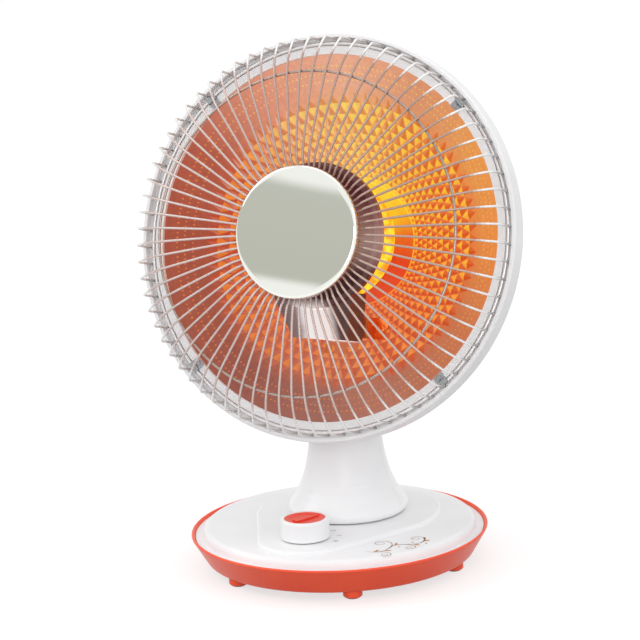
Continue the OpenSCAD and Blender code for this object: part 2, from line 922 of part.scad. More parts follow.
module neck_half_solid(inset, ledge) {
    top_step = (neck_end_z - neck_start.y) / 12;
    rotate_extrude(angle = 180)
        polygon(concat(
            [[0, neck_bottom_z - (inset > 0 ? 1 : 0)]],
            inset > 0 ? [[lip_c.x + (lip_r - inset) * cos(lip_under), neck_bottom_z - 1]] : [],
            arc(lip_c, lip_r - inset, -lip_under, lip_turn, 7),
            [for (i = [1:12])
                let (z = neck_start.y + i * top_step)
                [neck_at(z) - inset * (1.25 - 0.02 * i), z]],
            [[0, neck_end_z]]));
}

// Half of the flared neck, drawn on the +Y side
module neck_half(boss_side) {
    difference() {
        neck_half_solid(0);
        difference() {
            neck_half_solid(neck_wall);
            tube(neck_foot_r, neck_ledge_r, plate_top, plate_top + neck_ledge_t);
            for (side = [-1, 1])
                for (place = neck_screw_at)
                    translate([side * place[0], 0, place[1]])
                        rotate([-90, 0, 0])
                            cylinder(r = neck_boss_r, h = neck_foot_r);
        }
        translate([0, 0, neck_top_z])
            rotate([boss_side * neck_top_slope, 0, 0])
                translate([-neck_foot_r, -neck_foot_r, 0])
                    cube(2 * neck_foot_r);
        for (side = [-1, 1])
            for (place = neck_screw_at)
                translate([side * place[0], 0, place[1]])
                    rotate([-90, 0, 0])
                        disc(base_screw_r + screw_gap, -1, neck_boss_l);
    }
}

module neck_front() {
    color("#ece9e6")
        translate([0, neck_y - neck_seam, 0])
            rotate([0, 0, 180])
                neck_half(-1);
}

module neck_rear() {
    color("#ece9e6")
        translate([0, neck_y + neck_seam, 0])
            difference() {
                neck_half(1);
                for (side = [-1, 1])
                    for (place = neck_screw_at)
                        translate([side * place[0], 0, place[1]])
                            rotate([-90, 0, 0])
                                disc(base_screw_head_r + gap, neck_screw_seat, neck_foot_r);
            }
}

module neck_screws() {
    color("#b9bcc0")
        for (side = [-1, 1])
            for (place = neck_screw_at)
                translate([side * place[0], neck_y + neck_seam + neck_screw_seat, place[1]])
                    rotate([-90, 0, 0])
                        screw(base_screw_r, neck_screw_l, base_screw_head_r, base_screw_head_t);
}

module tilt_bolt() {
    color("#b9bcc0")
        translate([-ear_x - ear_t, neck_y, pivot_h])
            rotate([0, -90, 0])
                screw(bolt_r, fork_w + nut_t + 1, bolt_head_r, bolt_head_t);
}

module tilt_nut() {
    color("#b9bcc0")
        translate([ear_x + ear_t, neck_y, pivot_h])
            rotate([0, 90, 0])
                difference() {
                    cylinder(r = nut_r, h = nut_t, $fn = 6);
                    disc(bolt_r + screw_gap, -1, nut_t + 1);
                }
}

module tilt_washers() {
    color("#55585c")
        for (x = [lug_w / 2 + 0.1, -lug_w / 2 - 0.1 - washer_t])
            translate([x, neck_y, pivot_h])
                rotate([0, 90, 0])
                    tube(washer_r, bolt_r + screw_gap, 0, washer_t);
}

module clip_places() {
    ring_of(clip_count, clip_r, 45)
        children();
}

module housing_outside() {
    revolve(concat(
        [[0, -bowl_depth]], curve_pts(0), [[head_r - 0.5, housing_front_z], [0, housing_front_z]]));
}

module housing_inside() {
    wall_pts = curve_pts(bowl_wall);
    revolve(concat(
        [[0, bowl_wall - bowl_depth]], wall_pts,
        [[wall_pts[len(wall_pts) - 1].x, housing_front_z + 1], [0, housing_front_z + 1]]));
}

// What the rib and the bosses may fill: it ends in the middle of the wall, and in front of the rim
module housing_core() {
    revolve(concat(
        [[0, bowl_wall / 2 - bowl_depth]], curve_pts(bowl_wall / 2),
        [[curve_start.x - bowl_wall / 2, rim_front_z], [0, rim_front_z]]));
}

// Eye for the tilt bolt, with a web that runs into the housing's wall
module tilt_lug() {
    reach = pivot_clear + bowl_wall;
    translate([0, -pivot_local.x, pivot_local.y])
        rotate([pivot_angle + 90 + 90, 0, 0])
            rotate([90, 0, 90])
                translate([0, 0, -lug_w / 2]) {
                    cylinder(r = eye_r, h = lug_w);
                    linear_extrude(lug_w)
                        polygon([[-eye_r, 0], [eye_r, 0],
                                 [lug_root_w / 2, -reach], [-lug_root_w / 2, -reach]]);
                }
}

// White bowl with the tilt lug, the rib that carries the reflector and the clip bosses
module rear_housing() {
    color("#ece9e6")
        in_head()
            difference() {
                union() {
                    difference() {
                        union() {
                            housing_outside();
                            tilt_lug();
                        }
                        housing_inside();
                        ring_of(vent_count, vent_r)
                            translate([-vent_l / 2, -vent_w / 2, -bowl_depth - 1])
                                cube([vent_l, vent_w, bowl_wall + 2]);
                    }
                    tube(skirt_r - gap, skirt_r - gap - 2, housing_front_z - 3, tongue_z);
                    intersection() {
                        housing_core();
                        union() {
                            tube(rib_r + rib_t, rib_r, -bowl_depth, dish_flange_z - dish_t);
                            clip_places()
                                disc(clip_boss_r, -bowl_depth, dish_flange_z - dish_t - gap);
                        }
                    }
                }
                translate([-lug_w, -pivot_local.x, pivot_local.y])
                    rotate([0, 90, 0])
                        cylinder(r = bolt_r + running, h = 2 * lug_w);
                clip_places()
                    disc(clip_screw_r + screw_gap, dish_flange_z - clip_screw_l - 1, 0);
            }
}

// White ring round the reflector, with the seat for the guard
module front_ring() {
    shelf_under = annulus_z - annulus_t;
    color("#ece9e6")
        in_head()
            difference() {
                revolve(concat(
                    [[head_r, skirt_back_z]],
                    arc([head_r - ring_round, rim_front_z - ring_round], ring_round, 0, 90, 5),
                    [[seat_outer_r, rim_front_z], [seat_outer_r, seat_z], [seat_inner_r, seat_z],
                     [seat_inner_r, annulus_z], [annulus_inner_r, annulus_z],
                     [annulus_inner_r, shelf_under], [seat_inner_r - 0.5, shelf_under],
                     [seat_inner_r - 0.5, shelf_under - 1], [skirt_r, shelf_under - 1],
                     [skirt_r, skirt_back_z]]));
                clip_places()
                    disc(clip_screw_r + screw_gap, shelf_under - 1, 0);
            }
}

// Dished steel reflector with a flat flange
module reflector() {
    color("#b0b1b3")
        in_head()
            difference() {
                revolve(concat(
                    [[0, dish_apex_front], [dish_flat_r, dish_apex_front]],
                    dish_pts(0),
                    [[dish_flange_r, dish_flange_z], [dish_flange_r, dish_flange_z - dish_t]],
                    [for (i = [14:-1:0]) dish_pts(-dish_t)[i]],
                    [[0, dish_apex_front - dish_t]]));
                clip_places()
                    disc(clip_screw_r + screw_gap, dish_flange_z - 2, dish_flange_z + 1);
                lead_places()
                    disc(lead_hole_r, -bowl_depth, tube_z);
                rivet_places()
                    disc(rivet_r + screw_gap, -5, 5);
            }
}

// The space in front of the dish, as a solid that starts "z" in front of its surface
module above_dish(z) {
    revolve(concat([[0, dish_apex_front + z]], dish_pts(z), [[dish_r, 50], [0, 50]]));
}

// Sheet of thickness t that lies on the dish inside the box from "low" to "high"
module dish_foot(low, high, t) {
    intersection() {
        translate([low.x, low.y, dish_apex_front])
            cube([high.x - low.x, high.y - low.y, -dish_apex_front + dish_flange_z]);
        difference() {
            above_dish(foot_gap);
            above_dish(foot_gap + t);
        }
    }
}

module lead_places() {
    for (side = [-1, 1])
        translate([side * tube_end_x, -lead_y, 0])
            children();
}

// Rivet seats on the dish: two for the shield and two for the bracket, square to its surface
module rivet_places() {
    for (place = rivet_at) {
        r = norm(place);
        slope = atan(2 * dish_depth * r / pow(dish_r, 2));
        translate([place.x, place.y, dish_front(r)])
            rotate([0, 0, atan2(place.y, place.x)])
                rotate([0, -slope, 0])
                    children();
    }
}

// Round pan with a tapered hood below it that hides the tube's ends
module heat_shield() {
    pan_t = sheet_t;
    hood_foot_y = hood_end[0];
    color("#5b2d20")
        in_head()
            difference() {
                union() {
                    difference() {
                        pan_solid(0);
                        pan_solid(pan_t);
                        hood_solid(sheet_t, 0.5);
                    }
                    difference() {
                        hood_solid(0, 0);
                        hood_solid(sheet_t, 1);
                        pan_solid(pan_t);
                    }
                    intersection() {
                        translate([-strap_w / 2, -hood_foot_y, dish_apex_front])
                            cube([strap_w, bracket_t, hood_end[1] - hood_d - dish_apex_front + 2]);
                        above_dish(foot_gap);
                    }
                    dish_foot([-strap_w / 2, -hood_foot_y - foot_l],
                              [strap_w / 2, -hood_foot_y + bracket_t], bracket_t);
                }
                rivet_places()
                    disc(rivet_r + screw_gap, -5, 5);
            }
}

module pan_solid(inset) {
    revolve(concat(
        [[0, pan_rim_z - (inset > 0 ? 1 : 0)], [shield_r - inset, pan_rim_z - (inset > 0 ? 1 : 0)]],
        arc([shield_r - pan_edge_r, shield_front - pan_crown - pan_edge_r], pan_edge_r - inset, 0, 80, 6),
        [[0, shield_front - inset]]));
}

// The hood's outline in front view, cut by its sloping face and by its rear edge
module hood_solid(inset, behind) {
    intersection() {
        translate([0, 0, -hood_end[0]])
            linear_extrude(2 * hood_end[0])
                polygon([[-hood_half_w[0] + inset, -hood_top[0]], [hood_half_w[0] - inset, -hood_top[0]],
                         [hood_half_w[1] - inset, -hood_end[0] + inset],
                         [-hood_half_w[1] + inset, -hood_end[0] + inset]]);
        translate([-hood_half_w[0], 0, 0])
            rotate([90, 0, 90])
                linear_extrude(2 * hood_half_w[0])
                    polygon([[-hood_top[0] + behind, hood_top[1] - inset],
                             [-hood_end[0] - behind, hood_end[1] - inset],
                             [-hood_end[0] - behind, hood_end[1] - hood_d - behind],
                             [-hood_top[0] + behind, hood_top[1] - hood_d - behind]]);
    }
}

module element_rivets() {
    under = -dish_t - foot_gap;
    over = bracket_t + 2 * foot_gap;
    color("#b9bcc0")
        in_head()
            rivet_places()
                revolve([[0, under - 0.75], [rivet_head_r, under - 0.75], [rivet_head_r, under],
                         [rivet_r, under], [rivet_r, over], [rivet_head_r, over],
                         [rivet_head_r * 0.7, over + 1.1], [0, over + 1.5]]);
}

// Puts a sweep along a path in the XZ plane into the plane of the tube
module in_tube_plane() {
    in_head()
        translate([0, 0, tube_z])
            rotate([-90, 0, 0])
                children();
}

module quartz_tube() {
    last = len(tube_path) - 1;
    count = tube_sides * (last + 1);
    ends = [[0, false], [last * tube_sides, true]];
    color("#e9b98f")
        in_tube_plane()
            polyhedron(
                concat(
                    mitred(tube_path, tube_r, tube_sides),
                    mitred(tube_path, tube_r - tube_wall, tube_sides)),
                concat(
                    skin(last, tube_sides),
                    [for (f = skin(last, tube_sides, count)) [f[3], f[2], f[1], f[0]]],
                    [for (end = ends) for (k = [0:tube_sides - 1])
                        let (a = end[0] + k, b = end[0] + (k + 1) % tube_sides)
                        end[1] ? [b, a, a + count, b + count] : [a, b, b + count, a + count]]),
                convexity = 6);
}

module carbon_filament() {
    color("#ff9a3c")
        in_tube_plane()
            swept(tube_path, filament_r, filament_sides);
}

// Ceramic sockets with flat undersides, one on each end of the tube
module ceramic_holders() {
    color("#efe9dc")
        in_head()
            for (side = [-1, 1])
                translate([side * tube_end_x, -holder_y, tube_z])
                    difference() {
                        union() {
                            rotate([90, 0, 0])
                                cylinder(r = holder_r, h = holder_l);
                            translate([-holder_r, -holder_l, -holder_r])
                                cube([2 * holder_r, holder_l, holder_r]);
                        }
                        rotate([90, 0, 0])
                            disc(tube_r + gap, -1, holder_deep);
                        rotate([90, 0, 0])
                            disc(lead_hole_r, -1, lead_y - holder_y + lead_hole_r);
                        translate([0, -(lead_y - holder_y), -holder_r - 1])
                            cylinder(r = lead_hole_r, h = holder_r + 1);
                    }
}

// Steel bracket that carries the holders, with a foot on the dish at each end
module holder_bracket() {
    half = bracket_w / 2;
    y0 = -bracket_y - bracket_d / 2;
    cheek_x = tube_end_x + holder_r + 0.1;
    color("#a9acb0")
        in_head()
            difference() {
                union() {
                    translate([-half, y0, bracket_z - bracket_t])
                        cube([bracket_w, bracket_d, bracket_t]);
                    intersection() {
                        above_dish(foot_gap);
                        union() {
                            for (x = [-half, half - bracket_t])
                                translate([x, y0, dish_apex_front])
                                    cube([bracket_t, bracket_d, bracket_z - dish_apex_front]);
                        }
                    }
                    for (x = [-cheek_x - bracket_t, cheek_x])
                        translate([x, y0, bracket_z - bracket_t])
                            cube([bracket_t, bracket_d, holder_r]);
                    dish_foot([half - bracket_t, y0], [half + foot_l, y0 + bracket_d], bracket_t);
                    dish_foot([-half - foot_l, y0], [bracket_t - half, y0 + bracket_d], bracket_t);
                }
                lead_places()
                    disc(lead_hole_r, -bowl_depth, tube_z);
                rivet_places()
                    disc(rivet_r + screw_gap, -5, 5);
            }
}

module element_leads() {
    color("#c8c2b4")
        in_head()
            lead_places() {
                disc(lead_r, lead_bottom_z, tube_z);
                translate([0, 0, tube_z])
                    sphere(r = lead_r, $fn = 24);
            }
}

module thermal_cutout() {
    color("#d8d5cc")
        in_head()
            union() {
                disc(cutout_r, dish_apex_front - dish_t - cutout_h, dish_apex_front - dish_t);
                disc(cutout_flange_r, dish_apex_front - dish_t - 1, dish_apex_front - dish_t);
                for (x = [-4, 4])
                    translate([x - 1, -3, dish_apex_front - dish_t - cutout_h - 5])
                        cube([2, 6, 6]);
            }
}

module guard_wires() {
    color("#8d8785")
        in_head()
            for (i = [0:wire_count - 1])
                rotate([0, 0, 360 * i / wire_count])
                    swept(wire_path, wire_r, wire_sides);
}

module guard_rear_ring() {
    color("#8d8785")
        in_head()
            ring(rear_ring_r, rear_wire_r, seat_z + rear_wire_r);
}

module guard_mid_ring() {
    color("#8d8785")
        in_head()
            ring(mid_ring_c.x, ring_wire_r, mid_ring_c.y);
}

module guard_hub_ring() {
    color("#8d8785")
        in_head()
            ring(hub_ring_r, ring_wire_r, cap_wire.y - wire_r - ring_wire_r);
}

// Plain mirror cap in the middle of the guard
module cap_plate() {
    color("#bfc1b8")
        in_head()
            difference() {
                union() {
                    difference() {
                        cap_solid(0);
                        cap_solid(cap_t);
                    }
                    disc(cap_boss_r, backing_z + backing_t, cap_face_z - cap_t / 2);
                }
                disc(cap_screw_r + screw_gap, backing_z, backing_z + cap_screw_l + 1);
            }
}

module cap_solid(inset) {
    back = cap_back_z - (inset > 0 ? 1 : 0);
    crown_r = cap_r - cap_edge_r;
    revolve(concat(
        [[0, back], [cap_r - inset, back]],
        arc([crown_r, cap_face_z - cap_crown - cap_edge_r], cap_edge_r - inset, 0, 86, 6),
        [for (i = [6:-1:0])
            let (r = crown_r * i / 6)
            [r, cap_face_z - inset - cap_crown * pow(r / crown_r, 2)]]));
}

module cap_backing() {
    color("#8d8785")
        in_head()
            tube(hub_ring_r + 2, cap_screw_r + screw_gap, backing_z, backing_z + backing_t);
}

module cap_screw() {
    color("#b9bcc0")
        in_head()
            translate([0, 0, backing_z])
                mirror([0, 0, 1])
                    screw(cap_screw_r, cap_screw_l, 4, 2.4);
}

// Stepped strips that hold the guard's rear ring in the front ring
module guard_clips() {
    inner = clip_r - base_screw_head_r;
    step = clip_r + base_screw_head_r;
    outer = ring_leg_r - wire_r - gap;
    high = seat_z + 2 * rear_wire_r + 0.1;
    color("#c9ccd0")
        in_head()
            difference() {
                ring_of(clip_count, 0, 45)
                    translate([0, clip_w / 2, 0])
                        rotate([90, 0, 0])
                            linear_extrude(clip_w)
                                polygon([[inner, annulus_z], [step, annulus_z],
                                         [step + 1, high], [outer, high],
                                         [outer, high + clip_t], [step + 0.2, high + clip_t],
                                         [step - 0.8, annulus_z + clip_t], [inner, annulus_z + clip_t]]);
                clip_places()
                    disc(clip_screw_r + screw_gap, annulus_z - 1, rim_front_z);
            }
}

module clip_screws() {
    color("#b9bcc0")
        in_head()
            clip_places()
                translate([0, 0, annulus_z + clip_t])
                    screw(clip_screw_r, clip_screw_l, clip_screw_head_r, clip_screw_head_t);
}

base_shell();
foot_pads();
ballast_plate();
ballast_screws();
base_screws();
base_cover();
cord_gland();
terminal_block();
tip_over_switch();
rotary_switch();
switch_nut();
switch_shaft();
knob();
knob_insert();
swing_motor();
motor_screws();
swing_crank();
swivel_plate();
swivel_retainer();
retainer_screws();
neck_post();
post_screws();
neck_front();
neck_rear();
neck_screws();
tilt_bolt();
tilt_nut();
tilt_washers();
rear_housing();
front_ring();
reflector();
heat_shield();
element_rivets();
quartz_tube();
carbon_filament();
ceramic_holders();
holder_bracket();
element_leads();
thermal_cutout();
guard_wires();
guard_rear_ring();
guard_mid_ring();
guard_hub_ring();
cap_plate();
cap_backing();
cap_screw();
guard_clips();
clip_screws();
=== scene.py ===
import math

import bmesh
import bpy
from mathutils import Matrix, Vector


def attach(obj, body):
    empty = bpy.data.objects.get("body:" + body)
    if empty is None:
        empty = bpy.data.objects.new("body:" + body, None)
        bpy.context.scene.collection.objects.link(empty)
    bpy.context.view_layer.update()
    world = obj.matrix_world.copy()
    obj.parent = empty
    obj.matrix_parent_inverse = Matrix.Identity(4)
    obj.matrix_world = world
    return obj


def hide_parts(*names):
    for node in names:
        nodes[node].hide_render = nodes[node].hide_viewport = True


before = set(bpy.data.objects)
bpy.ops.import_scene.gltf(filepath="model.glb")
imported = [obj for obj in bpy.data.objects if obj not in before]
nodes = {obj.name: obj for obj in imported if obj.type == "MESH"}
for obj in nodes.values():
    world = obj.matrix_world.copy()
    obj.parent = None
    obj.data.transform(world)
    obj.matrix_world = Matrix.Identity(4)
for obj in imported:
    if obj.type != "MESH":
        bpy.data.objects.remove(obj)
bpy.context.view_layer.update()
scene = bpy.context.scene
MM = 0.001

# The head's own frame, in millimetres: +Z out of the rim, +Y up. The cover's and the pad's lie on their tops
HEAD_TILT = 14.8             # degrees that the rim leans back
HEAD = (Matrix.Translation(Vector((0, -3.97, 279.43)) * MM)
        @ Matrix.Rotation(math.radians(90 - HEAD_TILT), 4, "X"))
COVER = Matrix.Translation(Vector((0, 0, 35)) * MM)
PAD = Matrix.Translation(Vector((0, -66, 38.5)) * MM)

# Sockets of a colour Mix node
MIX_FIRST, MIX_SECOND, MIX_RESULT = 6, 7, 2


# Materials
def linear(code):
    """Hex sRGB colour as linear RGBA."""
    parts = [int(code[i:i + 2], 16) / 255 for i in (1, 3, 5)]
    return tuple(c / 12.92 if c <= 0.04045 else ((c + 0.055) / 1.055) ** 2.4 for c in parts) + (1,)


def add(tree, kind, links=None, **values):
    """New shader node. Values go to sockets or properties, links join other nodes' sockets to its inputs."""
    node = tree.nodes.new(kind)
    for key, value in values.items():
        name = key.replace("_", " ")
        if name in node.inputs:
            node.inputs[name].default_value = value
        else:
            setattr(node, key, value)
    for key, socket in (links or {}).items():
        tree.links.new(socket, node.inputs[key])
    return node


def material(name, colour, **values):
    """Principled material; returns it with its tree and its shader node."""
    made = bpy.data.materials.new(name)
    made.use_nodes = True
    shader = made.node_tree.nodes["Principled BSDF"]
    shader.inputs["Base Color"].default_value = linear(colour)
    for key, value in values.items():
        shader.inputs[key.replace("_", " ")].default_value = value
    return made, made.node_tree, shader


def noise(tree, size_mm, detail=3):
    """Noise in object space whose features are about size_mm wide."""
    place = add(tree, "ShaderNodeTexCoord")
    return add(tree, "ShaderNodeTexNoise", {"Vector": place.outputs["Object"]},
               Scale=1 / (size_mm * MM), Detail=detail)


def stops(tree, source, shades):
    """Colour ramp through a list of (place, colour)."""
    made = add(tree, "ShaderNodeValToRGB", {"Fac": source})
    ramp = made.color_ramp
    ramp.elements[0].position, ramp.elements[0].color = shades[0][0], linear(shades[0][1])
    ramp.elements[1].position, ramp.elements[1].color = shades[-1][0], linear(shades[-1][1])
    for at, code in shades[1:-1]:
        ramp.elements.new(at).color = linear(code)
    return made.outputs["Color"]


def ranged(tree, source, low, high, start=0.0, end=1.0):
    """Value that goes from low to high while the source goes from start to end."""
    made = add(tree, "ShaderNodeMapRange", {"Value": source},
               From_Min=start, From_Max=end, To_Min=low, To_Max=high)
    return made.outputs["Result"]


def vary(tree, shader, source, first, second):
    """Base colour that wanders between two near shades."""
    shades = stops(tree, source, [(0.35, first), (0.65, second)])
    tree.links.new(shades, shader.inputs["Base Color"])


def rough(tree, shader, source, low, high):
    """Roughness that follows a texture between two values."""
    tree.links.new(ranged(tree, source, low, high), shader.inputs["Roughness"])


def bump(tree, shader, source, depth_mm, strength=0.3):
    """Fine relief from a texture."""
    node = add(tree, "ShaderNodeBump", {"Height": source}, Strength=strength, Distance=depth_mm * MM)
    tree.links.new(node.outputs["Normal"], shader.inputs["Normal"])


def plastic(name, first, second, roughness, coat):
    """Moulded plastic: faint shade drift over 60 mm and an orange-peel skin of about 2 mm."""
    made, tree, shader = material(name, first, Specular_IOR_Level=0.3,
                                  Coat_Weight=coat, Coat_Roughness=0.08)
    vary(tree, shader, noise(tree, 60).outputs["Fac"], first, second)
    skin = noise(tree, 2.2, 2)
    rough(tree, shader, skin.outputs["Fac"], roughness - 0.03, roughness + 0.04)
    bump(tree, shader, skin.outputs["Fac"], 0.002, 0.05)
    return made


def metal(name, first, second, low, high, grain_mm):
    """Bare or plated metal with a fine grain."""
    made, tree, shader = material(name, first, Metallic=1.0)
    grain = noise(tree, grain_mm, 4)
    vary(tree, shader, grain.outputs["Fac"], first, second)
    rough(tree, shader, grain.outputs["Fac"], low, high)
    bump(tree, shader, grain.outputs["Fac"], 0.01, 0.2)
    return made


WHITE = plastic("glossy_white_abs", "#F6F6F7", "#F1F1F3", 0.3, 0.15)
# The base shell's orange is painted lighter than the knob's of the same plastic, to lift its sides that face
# down, away from the lamps
LIGHTENED_ORANGE = plastic("orange_abs_painted_lighter", "#FF5F3C", "#FA5838", 0.34, 0.0)
KNOB_ORANGE = plastic("orange_knob_abs", "#F04C36", "#E84632", 0.34, 0.0)
CREAM = plastic("cream_nylon", "#E4DFD2", "#DAD5C6", 0.5, 0.0)
DARK = plastic("black_polyamide", "#2B2B2D", "#242426", 0.5, 0.0)
ZINC = metal("zinc_plated_steel", "#B9BCC0", "#A6A9AE", 0.25, 0.4, 1.5)
BALLAST = metal("black_oxide_steel", "#6B6E73", "#5A5D61", 0.4, 0.6, 3)
# Painted light on the plated guard rings: the rings over the dish carry a pinkish painted reflection of its
# glow, and the rear ring is painted white against the shade of the rim's groove
DISH_LIT_WIRE = metal("plated_wire_painted_dish_reflection", "#B8A8A0", "#A89890", 0.16, 0.28, 2.5)
RIM_LIT_WIRE = metal("plated_wire_painted_white", "#F2F1F1", "#E8E6E6", 0.3, 0.45, 2.5)
# Painted orange reflection of the glowing dish on the element's bracket and rivets
DISH_LIT_STEEL = metal("steel_painted_dish_reflection", "#F49A58", "#E68A50", 0.3, 0.45, 4)


def rubber():
    """Black rubber: matt, with a fine grain of 0.8 mm."""
    made, tree, shader = material("black_rubber", "#222224", Specular_IOR_Level=0.3)
    grain = noise(tree, 0.8, 3)
    rough(tree, shader, grain.outputs["Fac"], 0.7, 0.9)
    bump(tree, shader, grain.outputs["Fac"], 0.05, 0.3)
    return made


def mirror():
    """Polished chrome plate: sharp reflections with a slow waviness of about 45 mm."""
    made, tree, shader = material("mirror_chrome", "#EFF1EA", Metallic=1.0, Roughness=0.04)
    wave = noise(tree, 45, 1)
    bump(tree, shader, wave.outputs["Fac"], 0.03, 0.2)
    return made


def ceramic():
    """Steatite: matt white with 1 mm grain."""
    made, tree, shader = material("white_steatite", "#EDE8DC", Roughness=0.55)
    grain = noise(tree, 1, 3)
    vary(tree, shader, grain.outputs["Fac"], "#EFEADF", "#E2DCCD")
    bump(tree, shader, grain.outputs["Fac"], 0.03, 0.3)
    return made


def quartz():
    """Quartz tube full of the filament's light, with streaks of about 7 mm."""
    made, tree, shader = material("glowing_quartz", "#B86A20", Transmission_Weight=0.2, Roughness=0.08,
                                  IOR=1.46)
    streaks = noise(tree, 7, 3)
    shades = stops(tree, streaks.outputs["Fac"], [(0.36, "#FA8A14"), (0.48, "#FFC01C"), (0.62, "#FFE238")])
    tree.links.new(shades, shader.inputs["Emission Color"])
    shader.inputs["Emission Strength"].default_value = 0.95
    return made


def glowing_carbon():
    """Glowing carbon, uneven over 3 mm along its length."""
    made, tree, shader = material("glowing_carbon", "#3A1A10", Roughness=0.8)
    uneven = noise(tree, 3, 2)
    shader.inputs["Emission Color"].default_value = linear("#FF9A1F")
    tree.links.new(ranged(tree, uneven.outputs["Fac"], 2.4, 3.6), shader.inputs["Emission Strength"])
    return made


# Painted reflections of guard, cap and dish on the shield, by the share of its height or width
PAN_REFLECTIONS = [(0.3, "#3A2226"), (0.5, "#3E2628"), (0.57, "#8A6A64"), (0.66, "#A88880"),
              (0.76, "#8A5A54"), (0.86, "#52242A"), (1.0, "#451A20")]
LEG_REFLECTIONS = [(0.26, "#5E4E4E"), (0.37, "#857474"), (0.44, "#FFFCFB"), (0.60, "#FFF4F2"),
              (0.67, "#3C2A28"), (0.82, "#3C2A28")]
FOOT_REFLECTION = "#CC6A3C"
FOOT_TOP = (0.05, 0.06)
LEG_TOP = (0.3, 0.36)


def shield_steel():
    """Polished steel with painted reflections of guard and dish, given off as emission: bands over the pan
    and the leg, waved at 14 mm.
    """
    made, tree, shader = material("shield_steel_painted_reflections", "#4A3634", Metallic=0.8)
    place = add(tree, "ShaderNodeTexCoord")
    at = add(tree, "ShaderNodeSeparateXYZ", {"Vector": place.outputs["Generated"]})
    wave = noise(tree, 14, 2)
    across, up = (add(tree, "ShaderNodeMath", {0: wave.outputs["Fac"], 2: at.outputs[axis]},
                      operation="MULTIPLY_ADD") for axis in ("X", "Z"))
    across.inputs[1].default_value = up.inputs[1].default_value = 0.03
    links = {"Factor": ranged(tree, at.outputs["Z"], 0, 1, *LEG_TOP),
             MIX_FIRST: stops(tree, across.outputs[0], LEG_REFLECTIONS),
             MIX_SECOND: stops(tree, up.outputs[0], PAN_REFLECTIONS)}
    both = add(tree, "ShaderNodeMix", links, data_type="RGBA")
    links = {"Factor": ranged(tree, at.outputs["Z"], 0, 1, *FOOT_TOP), MIX_SECOND: both.outputs[MIX_RESULT]}
    shield_reflection = add(tree, "ShaderNodeMix", links, data_type="RGBA")
    shield_reflection.inputs[MIX_FIRST].default_value = linear(FOOT_REFLECTION)
    tree.links.new(shield_reflection.outputs[MIX_RESULT], shader.inputs["Emission Color"])
    shader.inputs["Emission Strength"].default_value = 0.8
    rough(tree, shader, wave.outputs["Fac"], 0.12, 0.22)
    return made


RUBBER, MIRROR, CERAMIC, QUARTZ = rubber(), mirror(), ceramic(), quartz()
FILAMENT, SHIELD = glowing_carbon(), shield_steel()

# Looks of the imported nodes. The rest are zinc-plated, or hidden behind a piece drawn below
LOOKS = {
    WHITE: ["base_cover", "knob", "neck_front", "neck_rear", "front_ring"],
    LIGHTENED_ORANGE: ["base_shell"],
    KNOB_ORANGE: ["knob_insert"],
    RUBBER: ["foot_pads", "cord_gland"],
    DARK: ["tip_over_switch", "rotary_switch"],
    CREAM: ["terminal_block", "swing_crank"],
    BALLAST: ["ballast_plate", "neck_post", "tilt_washers"],
    DISH_LIT_WIRE: ["guard_mid_ring", "guard_hub_ring"],
    RIM_LIT_WIRE: ["guard_rear_ring"],
    DISH_LIT_STEEL: ["holder_bracket", "element_rivets"],
    CERAMIC: ["ceramic_holders", "thermal_cutout"],
    SHIELD: ["heat_shield"],
}
dressed = {name: look for look, names in LOOKS.items() for name in names}
for name, part in nodes.items():
    part.data.materials.clear()
    part.data.materials.append(dressed.get(name, ZINC))


# Mesh helpers
def mesh_piece(name, verts, faces, body, looks, place=HEAD, smooth=True):
    """Mesh object drawn in millimetres in the frame "place", dressed and riding on a body."""
    data = bpy.data.meshes.new(name)
    data.from_pydata([place @ (Vector(v) * MM) for v in verts], [], faces)
    for look in looks:
        data.materials.append(look)
    data.polygons.foreach_set("use_smooth", [smooth] * len(data.polygons))
    piece = bpy.data.objects.new(name, data)
    scene.collection.objects.link(piece)
    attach(piece, body)
    return piece


def paint(piece, shades, layer):
    """Colour attribute: for each face one shade, or a list with one for each corner."""
    colours = piece.data.attributes.new(layer, "FLOAT_COLOR", "CORNER")
    flat = []
    for face, shade in zip(piece.data.polygons, shades):
        corners = shade if isinstance(shade, list) else [shade] * face.loop_total
        flat += [c for corner in corners for c in corner]
    colours.data.foreach_set("color", flat)


def sweep(points, radius, sides, verts, faces):
    """Adds a round wire along 3-D points to verts and faces."""
    pts = [Vector(p) for p in points]
    first = len(verts)
    side = None
    for i, p in enumerate(pts):
        ahead = (pts[min(i + 1, len(pts) - 1)] - pts[max(i - 1, 0)]).normalized()
        if side is None:
            side = ahead.orthogonal().normalized()
        side = (side - ahead * side.dot(ahead)).normalized()
        other = ahead.cross(side)
        for k in range(sides):
            a = 2 * math.pi * k / sides
            verts.append(tuple(p + (side * math.cos(a) + other * math.sin(a)) * radius))
    for i in range(len(pts) - 1):
        for k in range(sides):
            n = (k + 1) % sides
            faces.append((first + i * sides + k, first + i * sides + n,
                          first + (i + 1) * sides + n, first + (i + 1) * sides + k))
    faces.append(tuple(first + k for k in reversed(range(sides))))
    faces.append(tuple(first + (len(pts) - 1) * sides + k for k in range(sides)))


def arc(cx, cy, r, start, end, steps):
    """Points of an arc from one angle to another, in degrees."""
    return [(cx + r * math.cos(math.radians(start + (end - start) * i / steps)),
             cy + r * math.sin(math.radians(start + (end - start) * i / steps))) for i in range(steps + 1)]


def rounded(points, times):
    """Corner cutting: each round replaces a corner by two points; the ends stay."""
    for _ in range(times):
        cut = [points[0]]
        for p, q in zip(points, points[1:]):
            cut += [tuple(u * a + v * (1 - a) for u, v in zip(p, q)) for a in (0.75, 0.25)]
        points = cut + [points[-1]]
    return points


def wrapped(degrees):
    """The same direction between -180 and 180 degrees."""
    return (degrees + 180) % 360 - 180


# The rear housing
JOIN_GAP = 0.01 * MM
SHARP_ANGLE = 25             # degrees between two faces from which their edge stays sharp


